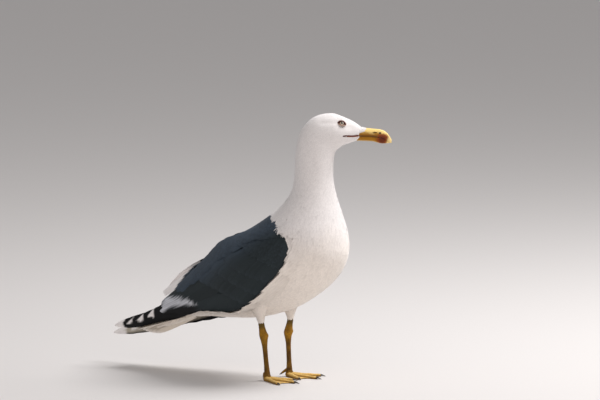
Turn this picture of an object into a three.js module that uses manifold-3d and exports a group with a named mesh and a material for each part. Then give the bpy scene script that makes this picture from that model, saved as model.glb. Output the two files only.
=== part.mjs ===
// An adult gull of the lesser black-backed kind, standing on both feet with its neck up and its
// head turned to its left. Life size, in millimetres: +X is forward, +Y the bird's left, +Z up.
// The whole flesh is one loft between a back line and a front line, parted by thin flat cuts.
// Each folded wing is a curved sheet between two rails, and every feather lies on that sheet.
import * as THREE from "three";
import { mergeVertices } from "three/addons/utils/BufferGeometryUtils.js";
import Module from "manifold-3d";

const wasm = await Module();
wasm.setup();

// ---------------------------------------------------------------- driving sizes
const GAP = 0.3; // free space between touching nodes
const CUTTER_GROWTH = 0.35; // how much fatter the flesh is when it cuts what lies on it
const degrees = THREE.MathUtils.degToRad;

const NECK_AXIS_X = 63; // the upright line that the neck and head turn about
const HEAD_TURN = degrees(35);
const HEAD_CUT_Z = 317; // height of the cut between head and neck
const NECK_CUT = { x: 63, z: 252, slope: -0.12 }; // cut between neck and torso
// The dark mantle is the back between the wings: what lies above one plane and behind another.
const MANTLE_UNDER = { point: [-62, 0, 154], normal: [-0.515, 0, 0.857] };
const MANTLE_FRONT = { point: [2, 0, 233], normal: [-0.53, 0, -0.85] };

// Flesh stations from the face to the rump: the point on the back line, the point on the front
// line (both x, z) and half the width. The stations are joined by one smooth curve each.
const STATIONS = [
  { back: [139, 351.5], front: [137, 348.5], half: 1.6 }, // inside the bill
  { back: [133, 356.6], front: [125, 341.6], half: 6.4 }, // bill base
  { back: [119.4, 366.6], front: [114, 337.5], half: 12.6 }, // lores
  { back: [104, 373.8], front: [105, 334.5], half: 18.2 }, // eyes
  { back: [86, 379], front: [98, 330], half: 22 }, // crown
  { back: [62, 373], front: [93, 324.5], half: 24 }, // hind crown
  { back: [45, 354], front: [91, 316], half: 25 }, // nape
  { back: [37.5, 325], front: [90, 303], half: 25.5 }, // upper neck
  { back: [35.5, 295], front: [90.5, 284], half: 26.5 }, // middle of the neck
  { back: [31, 270], front: [94.5, 260], half: 32.5 }, // neck base
  { back: [15, 247.5], front: [102, 233], half: 43.5 }, // shoulders
  { back: [-10, 228], front: [109, 204], half: 55.5 }, // mantle and upper breast
  { back: [-36, 212], front: [109, 176], half: 61 }, // breast
  { back: [-62, 198], front: [94, 148], half: 60 }, // widest
  { back: [-85, 181], front: [65, 123.5], half: 54 }, // belly
  { back: [-105, 160], front: [28, 103], half: 45 },
  { back: [-123, 141], front: [-22, 87], half: 35.5 }, // vent
  { back: [-140, 124], front: [-68, 80.5], half: 27 },
  { back: [-155, 109], front: [-108, 78], half: 20 }, // under-tail coverts
  { back: [-168, 97], front: [-142, 76], half: 14 },
  { back: [-176, 90], front: [-162, 77], half: 8.5 },
  { back: [-179, 86], front: [-174, 80], half: 3 }, // end of the rump
];
const FLESH_EGG = 0.1; // how much wider each section is towards the front line
const FLESH_SIDES = 26;
const TWIST_FROM = 10; // the neck turns between these two stations
const TWIST_TO = 5;

// Bill, in the head's own frame before it turns: x, top, bottom and half width of each section.
const UPPER_BILL = [
  { x: 117, top: 361, low: 348.2, half: 8.2 },
  { x: 127, top: 359.6, low: 348.1, half: 8.0 },
  { x: 137, top: 358.2, low: 347.6, half: 6.7 },
  { x: 147, top: 357.2, low: 346.9, half: 5.4 },
  { x: 155, top: 356.3, low: 345.3, half: 4.7 },
  { x: 161, top: 354.4, low: 343, half: 4.1 },
  { x: 165.5, top: 350.6, low: 340.4, half: 3.3 },
  { x: 169, top: 346, low: 338.2, half: 2.3 },
  { x: 171.2, top: 341.2, low: 337, half: 1.1 },
];
const LOWER_BILL = [
  { x: 112, top: 347.9, low: 341, half: 7.6 },
  { x: 124, top: 347.8, low: 340.3, half: 7.2 },
  { x: 136, top: 347.3, low: 339.9, half: 6.0 },
  { x: 146, top: 346.6, low: 339.2, half: 4.9 },
  { x: 153, top: 345.3, low: 337.3, half: 4.3 },
  { x: 158.5, top: 343.6, low: 336.4, half: 3.6 },
  { x: 163, top: 341.2, low: 336.7, half: 2.6 },
  { x: 166.2, top: 339.4, low: 337.6, half: 1.4 },
];
const NOSTRIL = { x: 148, z: 352, length: 6, height: 1.5, out: 5 };
const MOUTH = { from: 103.5, to: 130, z: 348, height: 0.9, depth: 1.5 };

const EYE = { x: 101.5, y: 10.8, z: 364.2, radius: 6.3 };
const EYE_AXIS = new THREE.Vector3(0.26, 0.85, 0.42).normalize(); // outward, on the left side
const LID = { radius: 5.4, tube: 0.95, rise: 3.5 };

// Legs: heels stand at y = +-HEEL_OUT, with the soles at z = 0.
const HEEL_OUT = 27;
const TARSUS_TOP_OF_FOOT = 10;
// Where the middle of each leg runs: [height, x], from the foot by the hock to inside the belly.
const LEG_LINE = {
  right: [[0, 2.6], [10, 2.2], [62, -3.4], [84, -11.2], [110, -13.5]],
  left: [[0, 2.4], [10, 2.2], [62, -0.3], [84, 4.6], [110, 0.5]],
};
const THIGH = [
  { z: 109, half: [16, 13] },
  { z: 101, half: [13, 11] },
  { z: 94, half: [9.2, 8.2] },
  { z: 88.5, half: [6.6, 6] },
  { z: 84.4, half: [5.4, 4.8] },
];
const SHANK = [
  { z: 84.1, half: [4.3, 3.8] },
  { z: 76, half: [4.4, 3.8] },
  { z: 69, half: [5.3, 4.5] },
  { z: 62.5, half: [5.8, 4.9] }, // hock
  { z: 56, half: [4.8, 4.0] },
  { z: 48, half: [3.8, 3.1] },
  { z: 35, half: [3.5, 2.8] },
  { z: 22, half: [3.6, 2.9] },
  { z: 14, half: [4.1, 3.4] },
  { z: TARSUS_TOP_OF_FOOT + GAP / 2, half: [4.6, 3.8] },
];
const TOES = [
  { name: "inner", turn: degrees(-31), length: 38, claw: 6.5 },
  { name: "middle", turn: 0, length: 49, claw: 8 },
  { name: "outer", turn: degrees(33), length: 46, claw: 6.5 },
];
const TOE_BULGES = [
  { at: 0, half: 4.2, tall: 8.4 },
  { at: 0.16, half: 3.6, tall: 6.6 },
  { at: 0.36, half: 3.3, tall: 5.6 },
  { at: 0.5, half: 2.7, tall: 4.9 },
  { at: 0.66, half: 3.0, tall: 4.8 },
  { at: 0.8, half: 2.4, tall: 4.2 },
  { at: 0.93, half: 2.5, tall: 4.1 },
  { at: 1, half: 1.9, tall: 3.5 },
];
const WEB = { low: 0.5, thick: 1.1, reach: 0.9, dip: 0.74 };
const HALLUX = { x: -4, in: 2, z: 7.2, length: 8.5, turn: degrees(135), drop: 2.6, claw: 3.5 };

// Folded wing. Upper and lower rail of its outer sheet, from the shoulder and wrist to the tip:
// x, distance out from the middle plane, z. `bulge` is how far the sheet arches between them.
const WING_RAILS = {
  upper: [
    [38, 36, 223], [2, 31, 221], [-40, 27, 205.5], [-80, 21, 189], [-118, 14, 158],
    [-150, 9, 131], [-182, 8, 106], [-225, 9, 86], [-272, 9, 70],
  ],
  lower: [
    [69, 55, 209], [48, 63, 172], [14, 63, 136], [-16, 56, 111], [-48, 48, 98],
    [-85, 40, 94], [-122, 32, 86], [-188, 20, 68], [-264, 14, 52],
  ],
  bulge: [9, 15, 18, 17, 13, 9, 6, 4, 2],
};
// The left wing hangs a little looser: its hand is lower and further out.
const LOOSE_WING = {
  upper: [
    [0, 0, 0], [0, 0, 0], [0, 0, 1], [0, 0, 4], [0, 3, 8],
    [-4, 6, 15], [-8, 8, 14], [-12, 9, -3], [-18, 11, -14],
  ],
  lower: [
    [0, 0, 0], [0, 0, 0], [0, 0, 0], [0, 1, -2], [0, 4, -6],
    [0, 8, -10], [0, 11, -12], [-4, 13, -12], [-22, 9, -15],
  ],
};
// The arm of the wing is one solid under the feathers. It comes up to the sheet at the shoulder
// and under the scapulars (q below `pad`), and lies deeper where feathers cover it.
const WING_CORE = {
  from: -0.15, to: 4.9, across: 9, along: 15, proud: 0.4, sunk: 2.6, pad: 0.36, thick: [14, 2.2],
};

// Feathers of one wing. Each row runs from its first to its last feather: where along (s, 0 to 8)
// and across (q, 0 at the upper rail) the tips and roots lie, half the width, and the height of
// root and tip over the sheet. `stack` lowers each feather under the one before it; `louvre`
// tips them so that each overlaps its neighbour.
const WING_ROWS = [
  {
    name: "primaries", count: 6, half: 11, shape: "long",
    tipS: [6.65, 8], tipQ: [0.28, 0.5], rootS: [4.3, 4.75], rootQ: [0.3, 0.94],
    height: [-5, -2.2], stack: 0.85, louvre: 0,
  },
  {
    name: "secondaries", count: 5, half: 11.5, shape: "long",
    tipS: [6.2, 3.6], tipQ: [0.9, 1.0], rootS: [4.2, 2.1], rootQ: [0.72, 0.86],
    height: [-4.6, -1.9], stack: 0, louvre: -0.08,
  },
  {
    name: "tertials", count: 5, half: 12, shape: "long",
    tipS: [6.4, 5.35], tipQ: [0.1, 0.64], rootS: [3.6, 3.2], rootQ: [0.14, 0.6],
    height: [-4.2, -0.8], stack: 0, louvre: -0.07,
  },
  {
    name: "greater coverts", count: 8, half: 9.6, shape: "round",
    tipS: [2.7, 4.1], tipQ: [1.0, 0.36], rootS: [1.55, 3.0], rootQ: [0.95, 0.36],
    height: [-4.2, 0.3], stack: 0, louvre: -0.1,
  },
  {
    name: "median coverts", count: 5, half: 12, shape: "round",
    tipS: [1.8, 3.1], tipQ: [0.99, 0.4], rootS: [0.9, 2.2], rootQ: [0.95, 0.4],
    height: [-4.2, 0.5], stack: 0, louvre: -0.1,
  },
];
// Share of the half width at each share of a feather's length.
const VANE_SHAPES = {
  long: [[0, 0.5], [0.4, 0.95], [0.75, 0.95], [0.92, 0.5], [1, 0.14]],
  round: [[0, 0.55], [0.45, 0.98], [0.82, 0.92], [1, 0.36]],
};
const VANE_THICK = 0.7;

// Tail: rectrices fan out below the wing tips, the middle pair on top.
const TAIL = {
  root: [-150, 81], tip: [-236, 53.5], fan: degrees(9), pairs: 6, half: 9.5, shorter: 9,
  spread: 1.9, stack: 0.95, roof: 0.14, roll: 0.25,
};
const TAIL_CORE = [
  { x: -146, z: 84, half: [15, 10] },
  { x: -164, z: 78.5, half: [17, 10] },
  { x: -180, z: 69.5, half: [16, 6.4] },
  { x: -194, z: 63, half: [12.5, 3.2] },
];

// ---------------------------------------------------------------- materials
const finish = (color, roughness) => new THREE.MeshStandardMaterial({ color, roughness, metalness: 0 });
const FINISHES = {
  white: finish(0xefebe8, 0.85),
  slate: finish(0x33383d, 0.8),
  bill: finish(0xd9a02c, 0.45),
  leg: finish(0xb98a1e, 0.55),
  claw: finish(0x1c1815, 0.5),
  eye: finish(0xe6dcae, 0.15),
};

// ---------------------------------------------------------------- shape helpers
// Uniform Catmull-Rom curve through a list of numbers, at t from 0 to the last index.
function spline(knots, t) {
  const last = knots.length - 1;
  const i = Math.min(Math.max(Math.floor(t), 0), last - 1);
  const f = t - i;
  const knot = (k) => {
    if (k < 0) return 2 * knots[0] - knots[1];
    if (k > last) return 2 * knots[last] - knots[last - 1];
    return knots[k];
  };
  const [a, b, c, d] = [knot(i - 1), knot(i), knot(i + 1), knot(i + 2)];
  return (
    0.5 * (2 * b + (c - a) * f + (2 * a - 5 * b + 4 * c - d) * f * f + (3 * b - a - 3 * c + d) * f ** 3)
  );
}

const mix = (a, b, f) => a + (b - a) * f;

function smoothstep(f) {
  const g = Math.min(Math.max(f, 0), 1);
  return g * g * (3 - 2 * g);
}

// Piecewise linear value of [[at, value], ...].
function ramp(pairs, at) {
  const i = Math.max(1, pairs.findIndex((p) => p[0] >= at - 1e-9));
  const [x0, y0] = pairs[i - 1];
  const [x1, y1] = pairs[i];
  return mix(y0, y1, (at - x0) / (x1 - x0));
}

// Closed solid through rings of equally many points, capped at both ends. `mirrored(j)` says
// that the quads after point j are split along their other diagonal.
function loft(rings, mirrored = () => false) {
  const sides = rings[0].length;
  const triangles = [];
  for (let k = 0; k + 1 < rings.length; k++)
    for (let j = 0; j < sides; j++) {
      const a = k * sides + j;
      const b = k * sides + ((j + 1) % sides);
      const [c, d] = [b + sides, a + sides];
      if (mirrored(j)) triangles.push(a, b, d, b, c, d);
      else triangles.push(a, b, c, a, c, d);
    }
  const end = (rings.length - 1) * sides;
  for (let j = 1; j + 1 < sides; j++) triangles.push(0, j + 1, j, end, end + j, end + j + 1);
  const geometry = new THREE.BufferGeometry();
  geometry.setAttribute("position", new THREE.Float32BufferAttribute(rings.flat(2), 3));
  geometry.setIndex(triangles);
  return solid(geometry);
}

function signedVolume(geometry) {
  const p = geometry.attributes.position;
  const [a, b, c] = [new THREE.Vector3(), new THREE.Vector3(), new THREE.Vector3()];
  let sum = 0;
  for (let i = 0; i < geometry.index.count; i += 3) {
    [a, b, c].forEach((v, n) => v.fromBufferAttribute(p, geometry.index.getX(i + n)));
    sum += a.dot(b.cross(c));
  }
  return sum / 6;
}

// A manifold-3d solid of a closed geometry, turned so that its faces point out.
function solid(geometry) {
  const bare = geometry.clone();
  bare.deleteAttribute("normal");
  bare.deleteAttribute("uv");
  const merged = mergeVertices(bare, 1e-4);
  const triVerts = new Uint32Array(merged.index.array);
  if (signedVolume(merged) < 0)
    for (let i = 0; i < triVerts.length; i += 3)
      [triVerts[i + 1], triVerts[i + 2]] = [triVerts[i + 2], triVerts[i + 1]];
  const vertProperties = new Float32Array(merged.attributes.position.array);
  return new wasm.Manifold(new wasm.Mesh({ numProp: 3, vertProperties, triVerts }));
}

// The largest closed piece of a solid.
function largest(made) {
  const pieces = made.decompose();
  return pieces.reduce((best, piece) => (piece.volume() > best.volume() ? piece : best));
}

// Everything on the side of a plane that its normal points to.
function halfSpace(point, normal) {
  const size = 1200;
  const box = new THREE.BoxGeometry(size, size, size).translate(0, 0, size / 2);
  const turn = new THREE.Quaternion().setFromUnitVectors(new THREE.Vector3(0, 0, 1), normal);
  return solid(box.applyQuaternion(turn).translate(point.x, point.y, point.z));
}

function meshOf(name, made, material) {
  const data = made.getMesh();
  const geometry = new THREE.BufferGeometry();
  geometry.setAttribute("position", new THREE.BufferAttribute(data.vertProperties, 3));
  geometry.setIndex(new THREE.BufferAttribute(data.triVerts, 1));
  geometry.computeVertexNormals();
  const mesh = new THREE.Mesh(geometry, material);
  mesh.name = name;
  return mesh;
}

// Turns a point of the head's frame about the neck's upright axis.
function turned([x, y, z], angle) {
  const [c, s] = [Math.cos(angle), Math.sin(angle)];
  return [NECK_AXIS_X + (x - NECK_AXIS_X) * c - y * s, (x - NECK_AXIS_X) * s + y * c, z];
}

function turnHead(geometry) {
  return geometry.translate(-NECK_AXIS_X, 0, 0).rotateZ(HEAD_TURN).translate(NECK_AXIS_X, 0, 0);
}

// ---------------------------------------------------------------- flesh
// Point on the flesh at station t and angle round the section, 0 at the back line.
function fleshPoint(t, angle, grow) {
  const read = (pick) => spline(STATIONS.map(pick), t);
  const back = [read((s) => s.back[0]), read((s) => s.back[1])];
  const front = [read((s) => s.front[0]), read((s) => s.front[1])];
  const half = read((s) => s.half) + grow;
  const along = [(back[0] - front[0]) / 2, (back[1] - front[1]) / 2];
  const stretch = 1 + grow / Math.hypot(...along);
  const c = Math.cos(angle) * stretch;
  const side = half * Math.sin(angle) * (1 - FLESH_EGG * Math.cos(angle));
  const x = (back[0] + front[0]) / 2 + along[0] * c;
  const z = (back[1] + front[1]) / 2 + along[1] * c;
  const twist = HEAD_TURN * smoothstep((TWIST_FROM - t) / (TWIST_FROM - TWIST_TO));
  return turned([x, side, z], twist);
}

function flesh(grow) {
  const rings = Array.from({ length: 2 * STATIONS.length - 1 }, (_, k) =>
    Array.from({ length: FLESH_SIDES }, (_, j) =>
      fleshPoint(k / 2, (2 * Math.PI * j) / FLESH_SIDES, grow),
    ),
  );
  return loft(rings);
}

const body = flesh(0);
const bodyCutter = flesh(CUTTER_GROWTH);

function partedFlesh() {
  const up = new THREE.Vector3(0, 0, 1);
  const neckNormal = new THREE.Vector3(NECK_CUT.slope * -1, 0, 1).normalize();
  const at = (z) => new THREE.Vector3(NECK_CUT.x, 0, z);
  const aboveHeadCut = halfSpace(at(HEAD_CUT_Z + GAP / 2), up);
  const belowHeadCut = halfSpace(at(HEAD_CUT_Z - GAP / 2), up.clone().negate());
  const aboveNeckCut = halfSpace(at(NECK_CUT.z + GAP / 2), neckNormal);
  const belowNeckCut = halfSpace(at(NECK_CUT.z - GAP / 2), neckNormal.clone().negate());
  const mantleWedge = (shift) =>
    [MANTLE_UNDER, MANTLE_FRONT]
      .map(({ point, normal }) => {
        const n = new THREE.Vector3(...normal).normalize();
        return halfSpace(new THREE.Vector3(...point).addScaledVector(n, shift), n);
      })
      .reduce((a, b) => a.intersect(b));
  const trunk = body.intersect(belowNeckCut);
  return {
    head: body.intersect(aboveHeadCut),
    neck: body.intersect(belowHeadCut).intersect(aboveNeckCut),
    mantle: trunk.intersect(mantleWedge(GAP / 2)),
    torso: trunk.subtract(mantleWedge(-GAP / 2)),
  };
}

// ---------------------------------------------------------------- head
function eyeCentre(side) {
  return turned([EYE.x, side * EYE.y, EYE.z], HEAD_TURN);
}

function eyeBall(side, radius) {
  const [x, y, z] = eyeCentre(side);
  return solid(new THREE.SphereGeometry(radius, 16, 10).translate(x, y, z));
}

// Fleshy ring of the lids round the eye.
function lidRing(side) {
  const axis = new THREE.Vector3(EYE_AXIS.x, side * EYE_AXIS.y, EYE_AXIS.z);
  const turn = new THREE.Quaternion().setFromUnitVectors(new THREE.Vector3(0, 0, 1), axis);
  const ring = new THREE.TorusGeometry(LID.radius, LID.tube, 5, 18).applyQuaternion(turn);
  const lift = axis.multiplyScalar(LID.rise);
  ring.translate(EYE.x + lift.x, side * EYE.y + lift.y, EYE.z + lift.z);
  return solid(turnHead(ring));
}

// Groove of the mouth that runs back from the bill below each eye.
function mouthGroove() {
  const { from, to, z, height, depth } = MOUTH;
  const slab = new THREE.BoxGeometry(to - from, 60, height).translate((from + to) / 2, 0, z);
  return solid(turnHead(slab)).subtract(flesh(-depth));
}

function head(parted) {
  let made = parted.head.add(lidRing(1)).add(lidRing(-1));
  made = made.subtract(eyeBall(1, EYE.radius + GAP)).subtract(eyeBall(-1, EYE.radius + GAP));
  return largest(made.subtract(mouthGroove()));
}

// One mandible: an arch over a flat bite line (upper) or a keel under one (lower).
function mandible(sections, isUpper) {
  const arch = 8;
  const rings = sections.map(({ x, top, low, half }) => {
    const [flat, round] = isUpper ? [low, top] : [top, low];
    const ring = [];
    for (let j = 0; j <= arch; j++) {
      const angle = (Math.PI * j) / arch;
      const bow = Math.pow(Math.sin(angle), 0.8);
      ring.push(turned([x, half * Math.cos(angle), flat + (round - flat) * bow], HEAD_TURN));
    }
    ring.push(turned([x, 0, flat], HEAD_TURN));
    return ring;
  });
  return loft(rings);
}

function nostrils(upper) {
  const { x, z, length, height, out } = NOSTRIL;
  const slot = new THREE.CapsuleGeometry(height / 2, length - height, 3, 8).rotateZ(Math.PI / 2);
  const cuts = [out, -out].map((y) => solid(turnHead(slot.clone().translate(x, y, z))));
  return wasm.Manifold.difference([upper, ...cuts]);
}

function bills() {
  const upper = nostrils(mandible(UPPER_BILL, true)).subtract(bodyCutter);
  const lower = mandible(LOWER_BILL, false).subtract(bodyCutter);
  return { upper: largest(upper), lower: largest(lower) };
}

// ---------------------------------------------------------------- legs
// Upright tube of oval sections, for the leg on one side.
function limb(sections, side, sides) {
  const rings = sections.map(({ z, half }) =>
    Array.from({ length: sides }, (_, j) => {
      const angle = (2 * Math.PI * j) / sides;
      const x = ramp(side > 0 ? LEG_LINE.left : LEG_LINE.right, z);
      return [x + half[0] * Math.cos(angle), side * HEEL_OUT + half[1] * Math.sin(angle), z];
    }),
  );
  return loft(rings);
}

// D-shaped toe section: flat on the floor, arched on top.
function toeSection(half, tall) {
  return [
    [-0.72 * half, 0], [0.72 * half, 0], [half, 0.4 * tall], [0.7 * half, 0.85 * tall],
    [0, tall], [-0.7 * half, 0.85 * tall], [-half, 0.4 * tall],
  ];
}

// A toe or claw from `start` to `end` along its own direction, on the foot's floor.
function digit(turn, stations, side) {
  const [c, s] = [Math.cos(turn), Math.sin(turn)];
  const rings = stations.map(({ along, half, tall, low = 0 }) =>
    toeSection(half, tall).map(([across, up]) => [
      along * c - across * s,
      side * (HEEL_OUT + along * s + across * c),
      low + up,
    ]),
  );
  return loft(rings);
}

function webPlate(side) {
  const ends = TOES.map(({ turn, length }) => [turn, length * WEB.reach]);
  const shape = new THREE.Shape();
  shape.moveTo(0, 0);
  const point = ([turn, reach]) => [reach * Math.cos(turn), reach * Math.sin(turn)];
  shape.lineTo(...point(ends[0]));
  for (let i = 0; i + 1 < ends.length; i++) {
    const [a, b] = [ends[i], ends[i + 1]];
    const middle = [(a[0] + b[0]) / 2, Math.min(a[1], b[1]) * WEB.dip];
    shape.quadraticCurveTo(...point(middle), ...point(b));
  }
  shape.lineTo(0, 0);
  const plate = new THREE.ExtrudeGeometry(shape, {
    depth: WEB.thick, bevelEnabled: false, curveSegments: 7,
  });
  plate.translate(0, HEEL_OUT, WEB.low).scale(1, side, 1);
  return solid(plate);
}

function footBall(side) {
  const top = TARSUS_TOP_OF_FOOT - GAP / 2;
  return limb(
    [
      { z: 0, half: [4.2, 3.4] },
      { z: 3, half: [5.6, 5.0] },
      { z: 6.5, half: [5.6, 4.9] },
      { z: top, half: [4.6, 3.8] },
    ],
    side,
    10,
  );
}

// Hind toe, held off the floor; `from` and `to` are lengths along it.
function hindDigit(side, from, to, halves) {
  const [c, s] = [Math.cos(HALLUX.turn), Math.sin(HALLUX.turn)];
  const rings = halves.map((half, i) => {
    const along = mix(from, to, i / (halves.length - 1));
    const drop = (HALLUX.drop * along) / HALLUX.length;
    return Array.from({ length: 6 }, (_, j) => {
      const angle = (2 * Math.PI * j) / 6;
      const across = half * Math.cos(angle);
      const x = HALLUX.x + along * c - across * s;
      const inwards = HALLUX.in + along * s + across * c;
      return [x, side * (HEEL_OUT - inwards), HALLUX.z - drop + half * Math.sin(angle)];
    });
  });
  return loft(rings);
}

function foot(side) {
  const toes = TOES.map(({ turn, length }) =>
    digit(turn, TOE_BULGES.map(({ at, half, tall }) => ({ along: length * at, half, tall })), side),
  );
  const hind = hindDigit(side, -3, HALLUX.length, [2.4, 2.1, 1.5]);
  return largest(wasm.Manifold.union([...toes, webPlate(side), footBall(side), hind]));
}

function claws(side) {
  const made = TOES.map(({ name, turn, length, claw }) => {
    const start = length + GAP;
    const stations = [
      { along: start, half: 1.5, tall: 2.8, low: 0.5 },
      { along: start + claw * 0.45, half: 1.2, tall: 2.3, low: 0.6 },
      { along: start + claw * 0.8, half: 0.8, tall: 1.3, low: 0.5 },
      { along: start + claw, half: 0.35, tall: 0.6, low: 0.4 },
    ];
    return [name, digit(turn, stations, side)];
  });
  const from = HALLUX.length + GAP;
  made.push(["hind", hindDigit(side, from, from + HALLUX.claw, [1.2, 0.9, 0.4])]);
  return made;
}

// ---------------------------------------------------------------- wings
// The rails of one wing; side is -1 for the right wing and 1 for the loose left one.
function railsOf(side) {
  const loosen = (rail, offsets) =>
    rail.map((knot, i) => knot.map((v, axis) => v + (side > 0 ? offsets[i][axis] : 0)));
  return {
    upper: loosen(WING_RAILS.upper, LOOSE_WING.upper),
    lower: loosen(WING_RAILS.lower, LOOSE_WING.lower),
    bulge: WING_RAILS.bulge,
  };
}

// Point on the wing's outer sheet at s along (0 to 8) and q across (0 upper, 1 lower rail).
function sheetPoint(rails, s, q) {
  const on = (rail, at) => new THREE.Vector3(...[0, 1, 2].map((k) => spline(rail.map((p) => p[k]), at)));
  const step = 0.05;
  const upper = on(rails.upper, s);
  const lower = on(rails.lower, s);
  const ahead = on(rails.upper, s + step).add(on(rails.lower, s + step)).sub(upper).sub(lower);
  const out = ahead.cross(lower.clone().sub(upper)).normalize();
  if (out.y < 0) out.negate();
  const arch = 4 * q * (1 - q) * spline(rails.bulge, s);
  return upper.lerp(lower, q).addScaledVector(out, arch);
}

// Point, and unit normal away from the body, at a place on the sheet.
function sheetFrame(rails, s, q) {
  const step = 0.02;
  const point = sheetPoint(rails, s, q);
  const alongS = sheetPoint(rails, s + step, q).sub(point).divideScalar(step);
  const alongQ = sheetPoint(rails, s, q + step).sub(point).divideScalar(step);
  const normal = alongS.clone().cross(alongQ).normalize();
  if (normal.y < 0) normal.negate();
  return { point, alongS, alongQ, normal };
}

// Place on the sheet `distance` mm sideways of (s, q), measured across a feather's run.
function sideways(frame, s, q, run, distance) {
  const across = frame.normal.clone().cross(run).normalize().multiplyScalar(distance);
  const [ss, sq, qq] = [
    frame.alongS.dot(frame.alongS), frame.alongS.dot(frame.alongQ), frame.alongQ.dot(frame.alongQ),
  ];
  const [a, b] = [across.dot(frame.alongS), across.dot(frame.alongQ)];
  const d = ss * qq - sq * sq;
  return [s + (a * qq - b * sq) / d, q + (b * ss - a * sq) / d];
}

// One vane on the sheet: four points a ring, two on its outer face and two on its inner one.
function wingVane(rails, side, feather) {
  const { s0, q0, s1, q1, half, height, louvre, shape } = feather;
  const rings = VANE_SHAPES[shape].map(([f, share]) => {
    const [s, q] = [mix(s0, s1, f), mix(q0, q1, f)];
    const frame = sheetFrame(rails, s, q);
    const run = frame.alongS.clone().multiplyScalar(s1 - s0).addScaledVector(frame.alongQ, q1 - q0);
    const lift = mix(height[0], height[1], Math.pow(f, 0.7));
    const place = (c, thick) => {
      const [sc, qc] = sideways(frame, s, q, run, c * half * share);
      const there = sheetFrame(rails, sc, qc);
      return there.point
        .addScaledVector(there.normal, lift + louvre * c * half * share + thick)
        .toArray();
    };
    const edge = VANE_THICK / 2;
    const ring = [place(-1, edge), place(1, edge), place(1, -edge), place(-1, -edge)];
    return ring.map(([x, y, z]) => [x, side * y, z]);
  });
  return loft(rings, (j) => j >= 2);
}

function rowOfVanes(rails, side, row) {
  return Array.from({ length: row.count }, (_, i) => {
    const f = i / (row.count - 1);
    const drop = row.stack * i;
    const wobble = row.stack ? 0 : 0.05 * Math.sin(2.4 * i); // real rows are a little uneven
    return wingVane(rails, side, {
      s0: mix(...row.rootS, f),
      q0: mix(...row.rootQ, f),
      s1: mix(...row.tipS, f) + wobble,
      q1: mix(...row.tipQ, f),
      half: row.half,
      height: [row.height[0] - drop * 0.4, row.height[1] - drop],
      louvre: row.louvre,
      shape: row.shape,
    });
  });
}

// How deep under the sheet the arm's outer face lies.
function coreDepth(s, q) {
  const { from, proud, sunk, pad } = WING_CORE;
  const underCoverts = smoothstep((s - 0.7) / 0.9) * smoothstep((q - pad + 0.06) / 0.14);
  const underTertials = smoothstep((s - 4) / 0.5);
  const shoulder = 7 * (1 - smoothstep((s - from) / 0.5));
  return proud + (sunk - proud) * Math.max(underCoverts, underTertials) + shoulder;
}

// Arm of the wing: a shell whose outer face follows the sheet and thins towards its rim.
function wingCore(rails, side) {
  const { from, to, across, along, thick } = WING_CORE;
  const rings = Array.from({ length: along }, (_, k) => {
    const s = mix(from, to, k / (along - 1));
    const here = mix(...thick, smoothstep((s - 1.4) / 2.8));
    const outer = [];
    const inner = [];
    for (let j = 0; j <= across; j++) {
      const q = mix(-0.04, 0.97, j / across);
      const rim = 3 * Math.pow(Math.abs(2 * (j / across) - 1), 4);
      const { point, normal } = sheetFrame(rails, s, q);
      const place = (h) => point.clone().addScaledVector(normal, h).toArray();
      const depth = coreDepth(s, q) + rim;
      outer.push(place(-depth));
      inner.unshift(place(-depth - here));
    }
    return [...outer, ...inner].map(([x, y, z]) => [x, side * y, z]);
  });
  return loft(rings);
}

function wing(side) {
  const rails = railsOf(side);
  const vanes = WING_ROWS.flatMap((row) => rowOfVanes(rails, side, row));
  const made = wasm.Manifold.union([wingCore(rails, side), ...vanes]);
  return largest(made.subtract(bodyCutter));
}

// ---------------------------------------------------------------- tail
function tailVane(side, i) {
  const [rootX, rootZ] = TAIL.root;
  const length = Math.hypot(TAIL.tip[0] - rootX, TAIL.tip[1] - rootZ);
  const slope = Math.atan2(rootZ - TAIL.tip[1], rootX - TAIL.tip[0]);
  const yaw = TAIL.fan * ((i + 0.5) / TAIL.pairs);
  const reach = length - TAIL.shorter * ((i + 0.5) / TAIL.pairs) ** 2;
  const drop = TAIL.stack * (i + (side > 0 ? 0.5 : 0));
  const rings = VANE_SHAPES.round.map(([f, share]) => {
    const place = (c, thick) => {
      const across = c * TAIL.half * share;
      const along = reach * f * Math.cos(yaw) - across * Math.sin(yaw);
      const out = TAIL.spread * (i + 0.5) + reach * f * Math.sin(yaw) + across * Math.cos(yaw);
      const sag = (TAIL.roof * Math.abs(out) + TAIL.roll * side * out) * mix(0.45, 1, f);
      const z = rootZ - along * Math.sin(slope) - drop - sag + thick;
      return [rootX - along * Math.cos(slope), side * out, z];
    };
    const edge = VANE_THICK / 2;
    return [place(-1, edge), place(1, edge), place(1, -edge), place(-1, -edge)];
  });
  return loft(rings, (j) => j >= 2);
}

function tail() {
  const vanes = [1, -1].flatMap((side) =>
    Array.from({ length: TAIL.pairs }, (_, i) => tailVane(side, i)),
  );
  const core = loft(
    TAIL_CORE.map(({ x, z, half }) =>
      Array.from({ length: 16 }, (_, j) => {
        const angle = (2 * Math.PI * j) / 16;
        return [x, half[0] * Math.cos(angle), z + half[1] * Math.sin(angle)];
      }),
    ),
  );
  return largest(wasm.Manifold.union([core, ...vanes]).subtract(bodyCutter));
}

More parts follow.
